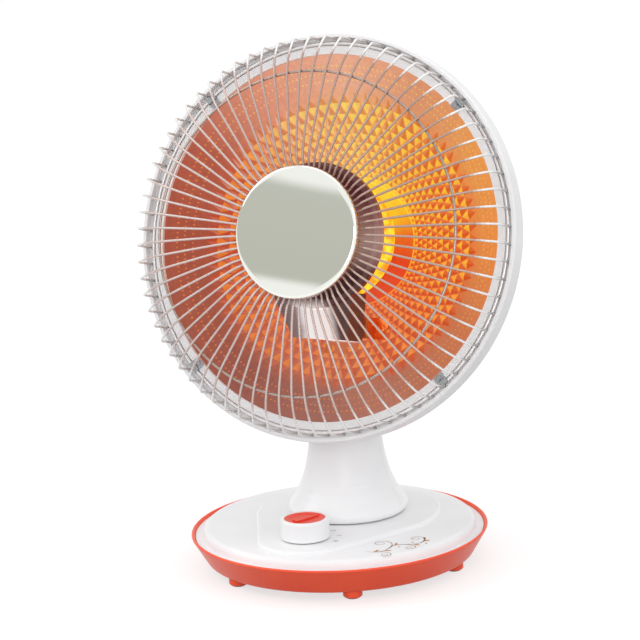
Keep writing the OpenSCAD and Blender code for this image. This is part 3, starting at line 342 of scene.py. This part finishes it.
def smooth_housing():
    """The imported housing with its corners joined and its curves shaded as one, so that no facet shows."""
    packed = nodes["rear_housing"]
    joined = bmesh.new()
    joined.from_mesh(packed.data)
    bmesh.ops.remove_doubles(joined, verts=joined.verts, dist=JOIN_GAP)
    data = bpy.data.meshes.new("smooth_housing")
    joined.to_mesh(data)
    joined.free()
    if "custom_normal" in data.attributes:
        data.attributes.remove(data.attributes["custom_normal"])
    data.materials.append(WHITE)
    data.polygons.foreach_set("use_smooth", [True] * len(data.polygons))
    data.set_sharp_from_angle(angle=math.radians(SHARP_ANGLE))
    piece = bpy.data.objects.new("smooth_housing", data)
    piece.matrix_world = packed.matrix_world.copy()
    scene.collection.objects.link(piece)
    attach(piece, "head")
    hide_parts("rear_housing")


# The embossed dish, in millimetres. A profile point is (radius, rise above the bowl's curve)
DISH = dict(flange_z=-5.0, depth=70.0, flat_r=14.0, edge_r=152.0, flange_r=158.8, sheet=0.8, steps=360)
FLAT_STEPS = [(r, 0) for r in (0, 14, 20, 26, 32, 38, 44, 49)]
HUB_RING = [(52.4, 0), (52.7, 0.4), (53.1, 0.6), (53.5, 0.4), (53.8, 0)]
FIELD_END = 127.0            # the pyramids' field lies between the hub's ring and this radius
FIELD_RINGS, FLUTE_RINGS = 18, 9
FLUTE_RISE = 0.05
EDGE_ROLL = [(151.2, 0.3), (152, 0.35), (152.8, 0), (DISH["flange_r"], 0)]
BACK_STEPS = (152.4, 140, 120, 95, 65, 35, 14, 0)
BACK_SHADE = "#6A5048"

# The pyramids. The first and the last of the four faces look at the tube
PITCH = 5.0                  # degrees between neighbours in a row
ROWS = 10
ROW_R = 57.2
ROW_STEP = 0.079             # each row is this share larger than the last
FILL = 0.9                   # share of its cell that a pyramid fills
RISE = 0.019                 # height as a share of the row's radius
SUNK = 0.02                  # feet lie this far under the sheet's face
FACE_LIGHT = (1.0, 0.12, 0.05, 0.9)      # share of the painted lit shade on each face

# The small points near the edge
DOT_RINGS = (134.0, 139.6, 144.6)
DOTS = 216
DOT_R = 1.1
DOT_HALF_TURN = 0.44         # degrees
DOT_RISE = 0.5
# Share of the painted lit shade on each of a point's four faces
DOT_LIGHT = (0.8, 0.2, 0.05, 0.7)

# Painted light and shade of the tube's glow, by the angle round the dish, 0 at the right and 90 at the top.
# CORE, INNER and OUTER are the plain sheet's from the middle out, the others a pyramid's painted lit, shaded
# and pale faces; the pale one is a painted reflection
CORE = [(-180, "#D2552C"), (-90, "#C8503A"), (-60, "#DC4420"), (-20, "#E03C18"), (10, "#EA6A1C"),
        (35, "#FFC024"), (60, "#FFD638"), (90, "#FFD040"), (120, "#F8B850"), (150, "#E88038"),
        (180, "#D2552C")]
INNER = [(-180, "#BC4830"), (-150, "#C05A3C"), (-120, "#C86A4C"), (-90, "#C26C50"), (-60, "#CC6040"),
         (-30, "#D65E34"), (0, "#E06A34"), (30, "#E27838"), (60, "#E09048"), (90, "#F0B060"),
         (120, "#ECA070"), (150, "#CC6844"), (180, "#BC4830")]
OUTER = [(-180, "#A05040"), (-150, "#9D5646"), (-120, "#8A564D"), (-90, "#96685D"), (-60, "#B1745F"),
         (-30, "#BC7450"), (0, "#DC8A48"), (30, "#DE9852"), (60, "#D69670"), (90, "#E8AE90"),
         (120, "#DC957C"), (150, "#AC5A48"), (180, "#A05040")]
LIT_SHADES = [(-180, "#FF8E2A"), (-150, "#FA8C34"), (-120, "#F08A48"), (-90, "#EE9050"), (-60, "#F89848"),
       (-30, "#FFB040"), (0, "#FFD038"), (30, "#FFDA3C"), (60, "#FFE048"), (90, "#FFE860"),
       (120, "#FFD870"), (150, "#FFA038"), (180, "#FF8E2A")]
SHADE = [(-180, "#B03824"), (-150, "#AC4A32"), (-120, "#AC5840"), (-90, "#B45A40"), (-60, "#C45030"),
         (-30, "#CC4C26"), (0, "#D44C1E"), (30, "#D85A24"), (60, "#D67434"), (90, "#D89050"),
         (120, "#CC8050"), (150, "#BC5030"), (180, "#B03824")]
PALE = [(-180, "#C88070"), (-150, "#C87868"), (-90, "#C07060"), (-60, "#C86444"), (0, "#DC6428"),
        (60, "#E0946C"), (90, "#F4D0AC"), (120, "#F4D8CC"), (150, "#DCAAA2"), (180, "#C88070")]


def mixed(first, second, share):
    """Shade between two, with the share held from 0 to 1."""
    share = max(0.0, min(1.0, share))
    return tuple(a + (b - a) * share for a, b in zip(first, second))


def along(shades, x):
    """Shade at a place on a list of (place, colour)."""
    for (p0, c0), (p1, c1) in zip(shades, shades[1:]):
        if x <= p1:
            return mixed(linear(c0), linear(c1), (x - p0) / (p1 - p0))
    return linear(shades[-1][1])


def dish_z(r):
    """Height of the bowl's front: flat in the middle, a parabola, and level from the edge out."""
    r = max(r, DISH["flat_r"])
    return DISH["flange_z"] - DISH["depth"] * (1 - (min(r, DISH["edge_r"]) / DISH["edge_r"]) ** 2)


def on_dish(r, degrees, lift=0.0):
    """Point on the bowl's front, lifted off it."""
    a = math.radians(degrees)
    return (r * math.cos(a), r * math.sin(a), dish_z(r) + lift)


def diamond(r, inner, outer, degrees, half_turn, rise):
    """Four feet in the sheet and a tip."""
    return [on_dish(inner, degrees, -SUNK), on_dish(r, degrees + half_turn, -SUNK),
            on_dish(outer, degrees, -SUNK), on_dish(r, degrees - half_turn, -SUNK), on_dish(r, degrees, rise)]


def chance(seed):
    """Repeatable number from 0 to 1."""
    return math.modf(abs(math.sin(seed * 12.9898) * 43758.5453))[0]


def sheet_shade(r, degrees):
    """The plain sheet's painted light and shade: CORE to radius 54, INNER from 70 to 105 and OUTER from 130.
    """
    near = mixed(along(CORE, degrees), along(INNER, degrees), (r - 54) / 16)
    return mixed(near, along(OUTER, degrees), (r - 105) / 25)


def add_sheet(verts, faces, shades):
    """Front with its hub ring and faint radial flutes near the edge, the rolled flange and plain back."""
    hub_start, hub_end = HUB_RING[0][0], HUB_RING[-1][0]
    front = FLAT_STEPS + HUB_RING
    front += [(hub_end + (FIELD_END - hub_end) * i / FIELD_RINGS, 0) for i in range(1, FIELD_RINGS + 1)]
    front += [(FIELD_END + (DISH["edge_r"] - FIELD_END) * i / FLUTE_RINGS, FLUTE_RISE)
              for i in range(1, FLUTE_RINGS)]
    front += EDGE_ROLL
    back = [(r, -DISH["sheet"]) for r in (DISH["flange_r"],) + BACK_STEPS]
    steps = DISH["steps"]
    rings = front + back
    first = len(verts)
    for r, lift in rings:
        for j in range(steps):
            flute = lift if lift != FLUTE_RISE else lift * (1 if j % 2 else -1)
            verts.append(on_dish(r, 360 * j / steps, flute))
    for i in range(len(rings) - 1):
        for j in range(steps):
            k = (j + 1) % steps
            faces.append((first + i * steps + j, first + (i + 1) * steps + j,
                          first + (i + 1) * steps + k, first + i * steps + k))
            degrees = wrapped(360 * (j + 0.5) / steps)
            r = (rings[i][0] + rings[i + 1][0]) / 2
            # Painted light and shade of each face: the hub ring part way to the lit shade
            if i >= len(front) - 1:
                shades.append(linear(BACK_SHADE))
            elif hub_start < r < hub_end:
                shades.append(mixed(along(LIT_SHADES, degrees), sheet_shade(r, degrees), 0.25))
            else:
                shades.append(sheet_shade(r, degrees))


def add_pyramids(verts, faces, shades):
    """Staggered rows of diamond pyramids; the two faces that look at the tube are painted bright with its
    light.
    """
    for row in range(ROWS):
        r = ROW_R * math.exp(ROW_STEP * row)
        half = math.exp(ROW_STEP * FILL)
        for j in range(int(360 / PITCH)):
            degrees = wrapped((j + 0.5 * (row % 2)) * PITCH)
            first = len(verts)
            verts += diamond(r, r / half, r * half, degrees, PITCH / 2 * FILL, RISE * r)
            lit_shade, shade, pale = along(LIT_SHADES, degrees), along(SHADE, degrees), along(PALE, degrees)
            flat = sheet_shade(r, degrees)
            seed = row * 131 + j
            # More painted light towards the middle, and each pyramid a little unlike the next
            near = max(0.0, min(1.0, 1.35 - r / 160))
            tip = 0.75 * (0.6 + 0.4 * chance(seed)) * (0.7 + 0.3 * near)
            for k, lit_share in enumerate(FACE_LIGHT):
                share = lit_share * (0.8 + 0.2 * chance(seed + k * 7.3)) * (0.8 + 0.2 * near)
                if lit_share < 0.5:
                    low = mixed(pale if k == 1 else shade, flat, 0.25)
                else:
                    low = mixed(flat, lit_shade, 0.35)
                feet = {0: mixed(low, lit_shade, tip * 0.6), 2: mixed(low, shade, 0.6)}
                corners = [feet.get(n, low) for n in (k, (k + 1) % 4)]
                faces.append((first + k, first + (k + 1) % 4, first + 4))
                shades.append(corners + [mixed(shade, lit_shade, share)])


def add_dots(verts, faces, shades):
    """Three rings of small points near the edge, their faces painted with the tube's light and shade."""
    for ring, r in enumerate(DOT_RINGS):
        for j in range(DOTS):
            degrees = wrapped((j + 0.5 * (ring % 2)) * 360 / DOTS)
            first = len(verts)
            verts += diamond(r, r - DOT_R, r + DOT_R, degrees, DOT_HALF_TURN, DOT_RISE)
            base, lit_shade = sheet_shade(r, degrees), along(LIT_SHADES, degrees)
            for k, share in enumerate(DOT_LIGHT):
                faces.append((first + k, first + (k + 1) % 4, first + 4))
                shades.append(mixed(base, lit_shade, share * (0.6 + 0.4 * chance(j * 3.1 + ring + k))))


def painted_light_sheet():
    """Embossed sheet in the tube's light: that light and shade is painted on the faces and given off as
    emission, with a grain of 4 mm.
    """
    made, tree, shader = material("embossed_reflector_painted_light", "#5A2A18", Metallic=0.9)
    shade = add(tree, "ShaderNodeAttribute", attribute_name="painted_light")
    grain = noise(tree, 4, 3)
    strength = ranged(tree, grain.outputs["Fac"], 0.86, 0.99, 0.3, 0.7)
    tree.links.new(shade.outputs["Color"], shader.inputs["Emission Color"])
    tree.links.new(strength, shader.inputs["Emission Strength"])
    rough(tree, shader, grain.outputs["Fac"], 0.25, 0.4)
    bump(tree, shader, grain.outputs["Fac"], 0.04, 0.2)
    return made


def embossed_dish():
    """The reflector as one mesh with painted light and shade."""
    verts, faces, shades = [], [], []
    add_sheet(verts, faces, shades)
    add_pyramids(verts, faces, shades)
    add_dots(verts, faces, shades)
    piece = mesh_piece("embossed_dish", verts, faces, "head", [painted_light_sheet()], smooth=False)
    paint(piece, shades, "painted_light")
    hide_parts("reflector")


# The guard, in millimetres and degrees. A point is (radius, height)
GUARD = dict(count=72, leg_r=164.3, bottom=-2.6, corner=(157.8, 19.5), corner_r=6.5, turn=42.0,
             shoulder_r=62.4, shoulder_end=81.9, bends=[(64.0, 52.57), (56.0, 47.77)], end=(49.4, 47.77),
             wire=1.0, sides=8)

# The wires' painted reflection of the glowing dish, by the angle round it; it fades into the painted
# reflection of the white rim from 148 mm to 156 mm
WIRE_REFLECTIONS = [(-180, "#D6C4C0"), (-90, "#D2BEB8"), (-45, "#CDB4A8"), (0, "#BFA294"), (60, "#B09486"),
        (100, "#B89C92"), (140, "#D2BFB8"), (180, "#D6C4C0")]
RIM_REFLECTION = "#F0F0F0"
FADE_START, FADE_WIDTH = 148, 8


def guard_line():
    """Centre line of one guard wire: leg, corner, shoulder and the joggle at the cap."""
    cx, cy = GUARD["corner"]
    turn = math.radians(GUARD["turn"])
    back = GUARD["corner_r"] - GUARD["shoulder_r"]
    shoulder = (cx + back * math.cos(turn), cy + back * math.sin(turn))
    line = [(GUARD["leg_r"], GUARD["bottom"])] + arc(cx, cy, GUARD["corner_r"], 0, GUARD["turn"], 5)
    line += arc(*shoulder, GUARD["shoulder_r"], GUARD["turn"], GUARD["shoulder_end"], 12)[1:]
    return line + rounded([line[-1]] + GUARD["bends"] + [GUARD["end"]], 2)[1:]


def painted_reflection_wire():
    """Plated wire with a painted reflection of the dish along each wire, and of the rim near it; grain of 2.5
    mm.
    """
    made, tree, shader = material("plated_guard_wire", "#C8BDB9", Metallic=0.35)
    wire_reflection = add(tree, "ShaderNodeAttribute", attribute_name="wire_reflection")
    tree.links.new(wire_reflection.outputs["Color"], shader.inputs["Base Color"])
    grain = noise(tree, 2.5, 3)
    rough(tree, shader, grain.outputs["Fac"], 0.16, 0.28)
    bump(tree, shader, grain.outputs["Fac"], 0.01, 0.2)
    return made


def guard_wires():
    """All the guard's wires as one mesh with painted reflections."""
    verts, faces, shades = [], [], []
    line = guard_line()
    for i in range(GUARD["count"]):
        a = 2 * math.pi * i / GUARD["count"]
        before = len(faces)
        points = [(r * math.cos(a), r * math.sin(a), z) for r, z in line]
        sweep(points, GUARD["wire"], GUARD["sides"], verts, faces)
        over_dish = along(WIRE_REFLECTIONS, wrapped(math.degrees(a)))
        for face in faces[before:]:
            reach = sum(math.hypot(verts[k][0], verts[k][1]) for k in face) / len(face)
            shades.append(mixed(over_dish, linear(RIM_REFLECTION), (reach - FADE_START) / FADE_WIDTH))
    piece = mesh_piece("guard_wire_set", verts, faces, "head", [painted_reflection_wire()])
    paint(piece, shades, "wire_reflection")
    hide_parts("guard_wires")


# The cap
CAP = dict(r=54.4, edge=3.0, edge_end=86.4, back=48.77, face=57.97, crown=1.6, sheet=0.8, inner_z=53.3,
           steps=160, crown_steps=30)


def mirror_cap():
    """The chrome cap with an even crown: a mirror shows every facet."""
    steps, crown_steps, sheet = CAP["steps"], CAP["crown_steps"], CAP["sheet"]
    flat_r, inner_r = CAP["r"] - CAP["edge"], CAP["r"] - sheet
    rim_z = CAP["face"] - CAP["crown"]
    profile = [(0.0, CAP["face"] - sheet), (flat_r, rim_z - sheet), (inner_r, CAP["inner_z"]),
               (inner_r, CAP["back"]), (CAP["r"], CAP["back"])]
    profile += arc(flat_r, rim_z - CAP["edge"], CAP["edge"], 0, CAP["edge_end"], 10)
    profile += [(flat_r * k / crown_steps, CAP["face"] - CAP["crown"] * (k / crown_steps) ** 2)
                for k in range(crown_steps - 1, -1, -1)]
    verts = [(x * math.cos(2 * math.pi * j / steps), x * math.sin(2 * math.pi * j / steps), z)
             for x, z in profile for j in range(steps)]
    faces = []
    for i in range(len(profile) - 1):
        for j in range(steps):
            k = (j + 1) % steps
            faces.append((i * steps + j, i * steps + k, (i + 1) * steps + k, (i + 1) * steps + j))
    piece = mesh_piece("mirror_cap", verts, faces, "head", [MIRROR])
    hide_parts("cap_plate")


# The ring-shaped tube and its coil, in the head's frame
TUBE = dict(ring=45.0, bend=12.0, half_gap=13.0, leg_start=-62.0, end=-74.0, z=-30.0, r=5.5, sides=20)
COIL = dict(end=-72.0, pitch=1.7, per_turn=9, r=1.45, wire=0.42, sides=5)


def omega_line(end_y):
    """Centre line of the tube in its plane, from one end to the other."""
    bend, ring, gap, leg = TUBE["bend"], TUBE["ring"], TUBE["half_gap"], TUBE["leg_start"]
    drop = math.sqrt((ring + bend) ** 2 - (gap + bend) ** 2)
    join = math.degrees(math.atan2(gap + bend, drop))
    line = [(gap, end_y), (gap, leg)] + arc(gap + bend, -drop, bend, 180, 90 + join, 6)
    line += arc(0, 0, ring, join - 90, 270 - join, 60)[1:]
    return line + arc(-gap - bend, -drop, bend, 90 - join, 0, 6)[1:] + [(-gap, leg), (-gap, end_y)]


def lit_tube():
    """The quartz tube, finely swept."""
    verts, faces = [], []
    points = [(x, y, TUBE["z"]) for x, y in omega_line(TUBE["end"])]
    sweep(points, TUBE["r"], TUBE["sides"], verts, faces)
    piece = mesh_piece("lit_quartz_tube", verts, faces, "head", [QUARTZ])
    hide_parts("quartz_tube")


def filament_coil():
    """Carbon wire wound round the tube's centre line."""
    line = omega_line(COIL["end"])
    lengths = [0.0]
    for p, q in zip(line, line[1:]):
        lengths.append(lengths[-1] + math.dist(p, q))
    points, pitch, per_turn, at = [], COIL["pitch"], COIL["per_turn"], 0
    for i in range(int(lengths[-1] / pitch * per_turn)):
        length = i * pitch / per_turn
        while lengths[at + 1] < length:
            at += 1
        p, q = Vector(line[at]), Vector(line[at + 1])
        share = (length - lengths[at]) / (lengths[at + 1] - lengths[at])
        ahead = (q - p).normalized()
        centre = p.lerp(q, share)
        a = 2 * math.pi * i / per_turn
        out, rise = COIL["r"] * math.cos(a), COIL["r"] * math.sin(a)
        points.append((centre.x - ahead.y * out, centre.y + ahead.x * out, TUBE["z"] + rise))
    verts, faces = [], []
    sweep(points, COIL["wire"], COIL["sides"], verts, faces)
    piece = mesh_piece("filament_coil", verts, faces, "head", [FILAMENT])
    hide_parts("carbon_filament")


# Printed marks on the base, in millimetres and degrees
PRINT_LIFT = 0.05
STEM = dict(start=-52, span=33, r=97, wave=4.5, waves=1.5, steps=60, thin=0.5, swell=0.7)
CURLS = ((0.14, 1.8, -1), (0.38, 2.5, 1), (0.62, 1.8, -1), (0.84, 2.2, 1))     # place, size, turn
LEAVES = ((0.08, 1), (0.24, -1), (0.5, 1), (0.74, -1), (0.92, -1))             # place, side
LEAF = dict(turn=48, length=6.5, width=2.6)
TIP_LEAF = dict(at=0.99, length=6, width=2.2)
BERRIES = ((0.14, 4.5), (0.5, -5.5), (0.74, 5), (0.86, -5))                    # place, distance from the stem
BERRY = 2.2
MARKS = ((60, 0), (28, 1), (-3, 2))                                            # direction, bars
MARK = dict(r=28, ring_r=1.6, ring_line=0.6, bar_half=2.1, bar_line=0.9, spacing=2.4)


def ribbon(points, widths, verts, faces):
    """Flat printed line along 2-D points, each with its own width."""
    first = len(verts)
    for i, (p, w) in enumerate(zip(points, widths)):
        q0, q1 = points[max(i - 1, 0)], points[min(i + 1, len(points) - 1)]
        dx, dy = q1[0] - q0[0], q1[1] - q0[1]
        length = math.hypot(dx, dy) or 1
        nx, ny = -dy / length * w / 2, dx / length * w / 2
        verts += [(p[0] + nx, p[1] + ny, PRINT_LIFT), (p[0] - nx, p[1] - ny, PRINT_LIFT)]
    for i in range(len(points) - 1):
        k = first + 2 * i
        faces.append((k, k + 1, k + 3, k + 2))


def leaf(at, angle, length, width, verts, faces):
    """Pointed leaf as a ribbon whose width swells."""
    a = math.radians(angle)
    steps = 10
    pts = [(at[0] + math.cos(a) * length * i / steps, at[1] + math.sin(a) * length * i / steps)
           for i in range(steps + 1)]
    widths = [width * math.sin(math.pi * i / steps) ** 0.8 + 0.05 for i in range(steps + 1)]
    ribbon(pts, widths, verts, faces)


def curl(at, angle, size, turn, verts, faces):
    """Open spiral tendril that starts at a point of the stem and narrows inwards."""
    steps = 26
    pts = []
    a = math.radians(angle)
    x, y = at
    for i in range(steps + 1):
        pts.append((x, y))
        # It bends more and steps less towards its end
        a += turn * (0.10 + 0.022 * i)
        x += math.cos(a) * size / (1 + 0.02 * i)
        y += math.sin(a) * size / (1 + 0.02 * i)
    ribbon(pts, [1.0 - 0.6 * i / steps for i in range(steps + 1)], verts, faces)


def ink(name, first, second):
    """Printed ink: satin, with a faint unevenness of 1.5 mm."""
    made, tree, shader = material(name, first, Specular_IOR_Level=0.4)
    grain = noise(tree, 1.5, 2)
    vary(tree, shader, grain.outputs["Fac"], first, second)
    rough(tree, shader, grain.outputs["Fac"], 0.35, 0.5)
    return made


def scroll_print():
    """Generic vine on the cover's front right: a waved stem, leaves, four tendrils and berries."""
    def stem(t):
        a = math.radians(STEM["start"] + STEM["span"] * t)
        r = STEM["r"] + STEM["wave"] * math.sin(2 * math.pi * STEM["waves"] * t)
        return (r * math.cos(a), r * math.sin(a))

    def heading(t):
        p, q = stem(t - 0.01), stem(t + 0.01)
        return math.degrees(math.atan2(q[1] - p[1], q[0] - p[0]))

    lines, fills = ([], []), ([], [])
    shares = [i / STEM["steps"] for i in range(STEM["steps"] + 1)]
    widths = [STEM["thin"] + STEM["swell"] * math.sin(math.pi * t) for t in shares]
    ribbon([stem(t) for t in shares], widths, *lines)
    for t, size, turn in CURLS:
        curl(stem(t), heading(t), size, turn, *lines)
    for t, side in LEAVES:
        leaf(stem(t), heading(t) + side * LEAF["turn"], LEAF["length"], LEAF["width"], *fills)
    tip = TIP_LEAF["at"]
    leaf(stem(tip), heading(tip), TIP_LEAF["length"], TIP_LEAF["width"], *fills)
    for t, off in BERRIES:
        x, y = stem(t)
        a = math.radians(heading(t) + 90)
        leaf((x + off * math.cos(a) - BERRY / 2, y + off * math.sin(a)), 0, BERRY, BERRY, *fills)
    for name, shape, look in (("scroll_lines", lines, ink("taupe_ink", "#9C7C6C", "#AA8672")),
                              ("scroll_leaves", fills, ink("amber_ink", "#C27A48", "#CE8A54"))):
        piece = mesh_piece(name, *shape, "base", [look], place=COVER, smooth=False)


def knob_marks():
    """Off, one and two as a ring, a bar and two bars round the knob."""
    verts, faces = [], []
    for angle, bars in MARKS:
        a = math.radians(angle)
        cx, cy = MARK["r"] * math.cos(a), MARK["r"] * math.sin(a)
        if bars == 0:
            turns = [t * math.pi / 8 for t in range(17)]
            pts = [(cx + MARK["ring_r"] * math.cos(t), cy + MARK["ring_r"] * math.sin(t)) for t in turns]
            ribbon(pts, [MARK["ring_line"]] * len(pts), verts, faces)
        for k in range(bars):
            off = (k - (bars - 1) / 2) * MARK["spacing"]
            x, y = cx - off * math.sin(a), cy + off * math.cos(a)
            half = MARK["bar_half"]
            pts = [(x + d * math.cos(a), y + d * math.sin(a)) for d in (-half, 0, half)]
            ribbon(pts, [MARK["bar_line"]] * len(pts), verts, faces)
    look = ink("grey_ink", "#9A9092", "#8C8486")
    piece = mesh_piece("knob_marks", verts, faces, "base", [look], place=PAD, smooth=False)


smooth_housing()
embossed_dish()
guard_wires()
lit_tube()
mirror_cap()
filament_coil()
scroll_print()
knob_marks()


# Camera, light and floor
AZIMUTH, ELEVATION, ROLL = 25.7, 12.1, -2.7     # degrees; azimuth 0 is the front
DISTANCE = 2.0
FOCAL_SHARE = 2393 / 640                        # focal length as a share of the picture's width
SENSOR = 36
AIM_ASIDE, AIM_HEIGHT = -8.3, 208.8             # the picture's middle, to the camera's right and up

# Name, place, aim, size and power of each lamp
LAMPS = [("key_left", (-2.0, -0.9, 1.9), (0, 0, 0.25), (1.2, 1.6), 12),
         ("front", (1.0, -2.5, 0.75), (0, 0, 0.25), (1.2, 1.2), 10),
         ("fill_right", (1.9, -1.0, 1.2), (0, 0, 0.25), (1.0, 1.4), 4),
         ("top", (0, 0.2, 2.4), (0, 0, 0), (1.8, 1.8), 6)]
SKY_LIGHT = 0.9              # what the object gets; what is seen directly or mirrored is white
FLOOR_SEEN = 0.68
FLOOR_HALF = 12

# A darker band of the studio, which polished metal mirrors, by height
SKY_BANDS = [(0.174, "#FFFFFF"), (0.188, "#C4C5BC"), (0.372, "#C8C9C2"), (0.392, "#FFFFFF")]


def camera():
    """The photograph's camera."""
    azimuth, elevation, roll = math.radians(AZIMUTH), math.radians(ELEVATION), math.radians(ROLL)
    back = Vector((math.sin(azimuth) * math.cos(elevation), -math.cos(azimuth) * math.cos(elevation),
                   math.sin(elevation)))
    right = Vector((math.cos(azimuth), math.sin(azimuth), 0))
    up = back.cross(right)
    turned_right = right * math.cos(roll) + up * math.sin(roll)
    turned_up = up * math.cos(roll) - right * math.sin(roll)
    target = Vector((AIM_ASIDE * math.cos(azimuth), AIM_ASIDE * math.sin(azimuth), AIM_HEIGHT)) * MM
    data = bpy.data.cameras.new("camera")
    data.sensor_width = SENSOR
    data.lens = FOCAL_SHARE * SENSOR
    data.clip_start, data.clip_end = 0.1, 60
    cam = bpy.data.objects.new("camera", data)
    scene.collection.objects.link(cam)
    place = Matrix((turned_right, turned_up, back)).transposed().to_4x4()
    place.translation = target + back * DISTANCE
    cam.matrix_world = place
    scene.camera = cam


def area(name, place, aim, size, power):
    """White rectangular lamp."""
    data = bpy.data.lights.new(name, "AREA")
    data.shape = "RECTANGLE"
    data.size, data.size_y = size
    data.energy = power
    lamp = bpy.data.objects.new(name, data)
    lamp.location = place
    lamp.rotation_euler = (Vector(aim) - Vector(place)).to_track_quat("-Z", "Y").to_euler()
    scene.collection.objects.link(lamp)


def seen(tree, hidden, shown, socket):
    """Strength that is "shown" for camera, glossy and transmission rays and "hidden" for the rest."""
    path = add(tree, "ShaderNodeLightPath")
    links = {0: path.outputs["Is Camera Ray"], 1: path.outputs["Is Glossy Ray"]}
    first = add(tree, "ShaderNodeMath", links, operation="MAXIMUM")
    links = {0: first.outputs[0], 1: path.outputs["Is Transmission Ray"]}
    both = add(tree, "ShaderNodeMath", links, operation="MAXIMUM")
    tree.links.new(ranged(tree, both.outputs[0], hidden, shown), socket)


def studio():
    """White surroundings, a floor that keeps the shadow, and the lamps."""
    floor_mesh = bpy.data.meshes.new("floor")
    corners = [(x * FLOOR_HALF, y * FLOOR_HALF, 0) for x, y in ((-1, -1), (1, -1), (1, 1), (-1, 1))]
    floor_mesh.from_pydata(corners, [], [(0, 1, 2, 3)])
    floor = bpy.data.objects.new("floor", floor_mesh)
    scene.collection.objects.link(floor)
    made, tree, shader = material("pale_floor", "#A0A0A0", Roughness=0.9, Specular_IOR_Level=0.1)
    shader.inputs["Emission Color"].default_value = linear("#FFFFFF")
    seen(tree, 0.0, FLOOR_SEEN, shader.inputs["Emission Strength"])
    floor.data.materials.append(made)
    world = bpy.data.worlds.new("studio")
    scene.world = world
    world.use_nodes = True
    tree = world.node_tree
    sky = tree.nodes["Background"]
    seen(tree, SKY_LIGHT, 1.0, sky.inputs["Strength"])
    place = add(tree, "ShaderNodeTexCoord")
    height = add(tree, "ShaderNodeSeparateXYZ", {"Vector": place.outputs["Generated"]})
    path = add(tree, "ShaderNodeLightPath")
    links = {"Factor": path.outputs["Is Glossy Ray"], MIX_SECOND: stops(tree, height.outputs["Z"], SKY_BANDS)}
    pick = add(tree, "ShaderNodeMix", links, data_type="RGBA")
    pick.inputs[MIX_FIRST].default_value = linear("#FFFFFF")
    tree.links.new(pick.outputs[MIX_RESULT], sky.inputs["Color"])
    for lamp in LAMPS:
        area(*lamp)


camera()
studio()
scene.view_settings.view_transform = "Standard"
